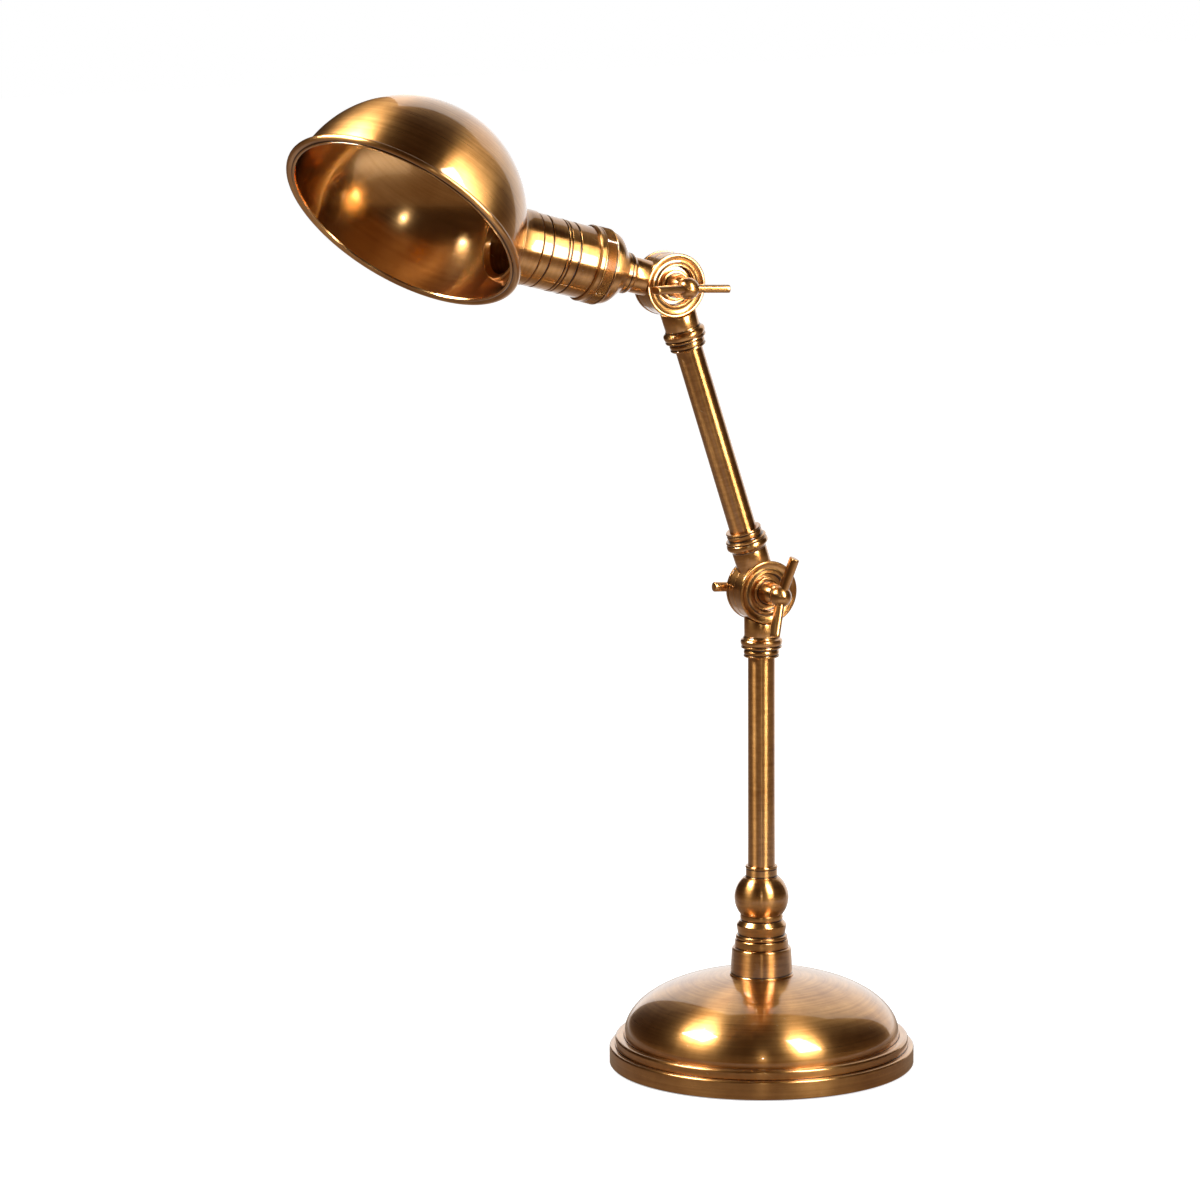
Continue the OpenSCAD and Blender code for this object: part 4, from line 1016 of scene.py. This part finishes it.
def quarter(radius, steps, down=False):
    """A quarter circle from the shade's pole to its rim, or down again from rim to pole."""
    turns = [math.pi/2*i/steps for i in range(steps)]
    line = [(radius*math.cos(a), -radius*math.sin(a)) for a in turns] + [(0, -radius)]
    return line if down else line[::-1]


rim = ([(SHADE_R + 0.15, 0.4), (SHADE_R + 0.7, 0.9)]
       + arc(RIM_R - RIM_ROUND, RIM_DROP - RIM_ROUND, RIM_ROUND, -140, 120, 22)
       + [(SHADE_R + 1.5, RIM_DROP - 0.6), (SHADE_R + 1.2, RIM_DROP - 0.75), (SHADE_R + 0.9, RIM_DROP - 0.5),
          (SHADE_R + 0.75, RIM_DROP - 0.1), (SHADE_R + 0.3, RIM_DROP), (SHADE_IN + 0.3, RIM_DROP - 0.3),
          (SHADE_IN, RIM_DROP - 1.2)])
bowl = quarter(SHADE_R, 72) + rim + quarter(SHADE_IN, 72, down=True)
spun = new_bmesh()
turned(spun, bowl, SHADE, segments=256, radius=0.12)
drill = new_bmesh()
turned(drill, [(0, DRILL[0]), (HOLE_R, DRILL[0]), (HOLE_R, DRILL[1]), (0, DRILL[1])], HEAD, radius=0)
bored = cut_away(plain_mesh(spun), plain_mesh(drill))
bored.shade_smooth()
shade = place_mesh("spun_shade", bored, spun_brass, "shade_unit", ["shade"])
shade.data.materials.append(inner_brass)
centre = SHADE.translation
halfway = (SHADE_R + SHADE_IN)/2*MM
for face in shade.data.polygons:
    face.material_index = 1 if (face.center - centre).length < halfway else 0

# %% Turn the ring inside the shade
RING_TUBE = 19.25
RING_BORE = 18.25
FLANGE = 22.2
inner = SHADE_IN - 0.07
lip = behind(inner, FLANGE) + 1.4
clamp_ring = [(RING_BORE, LEDGE + 18), (RING_TUBE, LEDGE + 18), (RING_TUBE, behind(inner, RING_TUBE))]
clamp_ring += [(r, behind(inner, r)) for r in (20.2, 21.2, FLANGE)]
clamp_ring += [(FLANGE, lip - 0.7), (FLANGE - 0.5, lip), (FLANGE - 1.0, lip), (FLANGE - 1.3, lip - 0.4),
               (RING_BORE + 1.2, lip - 1.2), (RING_BORE, lip - 1.9)]
turned_piece("shade_lip_ring", clamp_ring, HEAD, "shade_unit", "shade_ring", segments=192, radius=0.12)

# %% [markdown]
# ## The screw shell
#
# The lamp screws into a shell of thin brass with a rolled thread: round waves with a pitch of
# 3.6 mm that climb like a spiral stair. The waves go into the wall and don't stand out from
# it, so the bore keeps its clear width for the lamp's cap.

# %% Roll the thread
SHELL_R = 13.86
SHELL_BORE = 13.42
SHELL_FLOOR = LEDGE + 7.0
SHELL_FRONT = LEDGE + 31.2
PITCH = 3.62
WAVE = 0.38
THREAD_STEPS = 72
PLAIN_END = 1.5
LEVELS_A_TURN = 14

shell_bm = new_bmesh()
shell_uv = shell_bm.loops.layers.uv["turning"]
levels = int((SHELL_FRONT - SHELL_FLOOR)/PITCH*LEVELS_A_TURN)
columns = []
for k in range(THREAD_STEPS):
    angle = 2*math.pi*k/THREAD_STEPS
    line = []
    for side in (0, 1):
        for i in range(levels + 1):
            rise = (levels - i if side else i)/levels
            z = SHELL_FLOOR + rise*(SHELL_FRONT - SHELL_FLOOR)
            fade = min(1.0, min(z - SHELL_FLOOR, SHELL_FRONT - z)/PLAIN_END)
            wave = 0.5 - 0.5*math.cos(2*math.pi*((z - SHELL_FLOOR)/PITCH - k/THREAD_STEPS))
            radius = SHELL_R if side else SHELL_BORE + WAVE*wave*fade
            place = HEAD @ Vector((radius*math.cos(angle), radius*math.sin(angle), z))
            line.append(shell_bm.verts.new(place))
    columns.append(line)
for k in range(THREAD_STEPS):
    here, there = columns[k], columns[(k + 1) % THREAD_STEPS]
    for i in range(len(here)):
        n = (i + 1) % len(here)
        face = shell_bm.faces.new((here[i], there[i], there[n], here[n]))
        for loop, spot in zip(face.loops, ((k, i), (k + 1, i), (k + 1, i + 1), (k, i + 1))):
            loop[shell_uv].uv = (spot[0]/THREAD_STEPS, spot[1]*0.25)
make("rolled_screw_shell", shell_bm, fine_brass, "shade_unit", "screw_shell", slot="screw_shell_brass")

# %% [markdown]
# ## The pieces that stay as they are
#
# Under the base are wool felt and a cast-iron weight, and behind it a rubber grommet. In the
# socket are glazed porcelain and a steel contact. The joints turn on discs of red fibre.
# Plain steel holds the rest together: a pipe, a nipple, nuts, a washer and a clip. Their
# shapes are right, so each keeps its mesh and gets its own finish.

# %% Make the plain finishes
def grainy(name, tone, dark, scale, rough, height, metallic=0.0, coat=0.0, sheen=0.0, ior=1.5):
    """A material with one cloudy grain: colour, roughness and a little relief."""
    material, t = new_tree(name)
    place = add(t, "ShaderNodeTexCoord")
    grain = add(t, "ShaderNodeTexNoise", i0=place.outputs["Object"], Scale=scale, Detail=6.0,
                Roughness=0.62)
    depth = add(t, "ShaderNodeMapRange", i0=grain.outputs[0], i1=0.3, i2=0.7)
    colour = add(t, "ShaderNodeMix", {"data_type": "RGBA"}, i0=depth.outputs[0], i6=linear(dark),
                 i7=linear(tone))
    uneven = add(t, "ShaderNodeMapRange", i0=grain.outputs[0], i1=0.3, i2=0.7, i3=rough - 0.06,
                 i4=rough + 0.06)
    bump = add(t, "ShaderNodeBump", Strength=0.6, Distance=height*MM, Height=grain.outputs[0])
    shader = add(t, "ShaderNodeBsdfPrincipled", Base_Color=colour.outputs[2], Metallic=metallic,
                 Roughness=uneven.outputs[0], IOR=ior, Normal=bump.outputs[0], Coat_Weight=coat,
                 Coat_Roughness=0.08, Sheen_Weight=sheen)
    add(t, "ShaderNodeOutputMaterial", Surface=shader.outputs[0])
    return material


felt = grainy("pressed_wool_felt", "#26231f", "#151311", 2600.0, 0.93, 0.25, sheen=0.4)
iron = grainy("sand_cast_iron", "#6b6a69", "#464545", 900.0, 0.62, 0.15, metallic=1.0)
rubber = grainy("moulded_rubber", "#221f1d", "#171514", 1500.0, 0.68, 0.02)
steel = grainy("zinc_plated_steel", "#b9bbbf", "#8d9096", 500.0, 0.30, 0.01, metallic=1.0)
fibre = grainy("vulcanised_fibre", "#5b3226", "#3f221a", 1800.0, 0.72, 0.03)
glazed = grainy("glazed_porcelain", "#ece5d5", "#e2d9c6", 260.0, 0.24, 0.01, coat=0.8)
finishes = {felt: ("felt_pad",), iron: ("base_weight",), rubber: ("cable_grommet",),
            steel: ("base_washer", "base_nut", "stem_pipe", "head_nipple", "cap_lock_nut", "swivel_clip",
                    "centre_contact"),
            fibre: ("lower_friction_disc", "upper_friction_disc"), glazed: ("lampholder",)}
for material, names in finishes.items():
    for name in names:
        for slot in frame["nodes"][name].material_slots:
            slot.material = material
print("finished", sum(len(names) for names in finishes.values()), "plain pieces")

# %% Measure the lamp's extent
low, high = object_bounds()
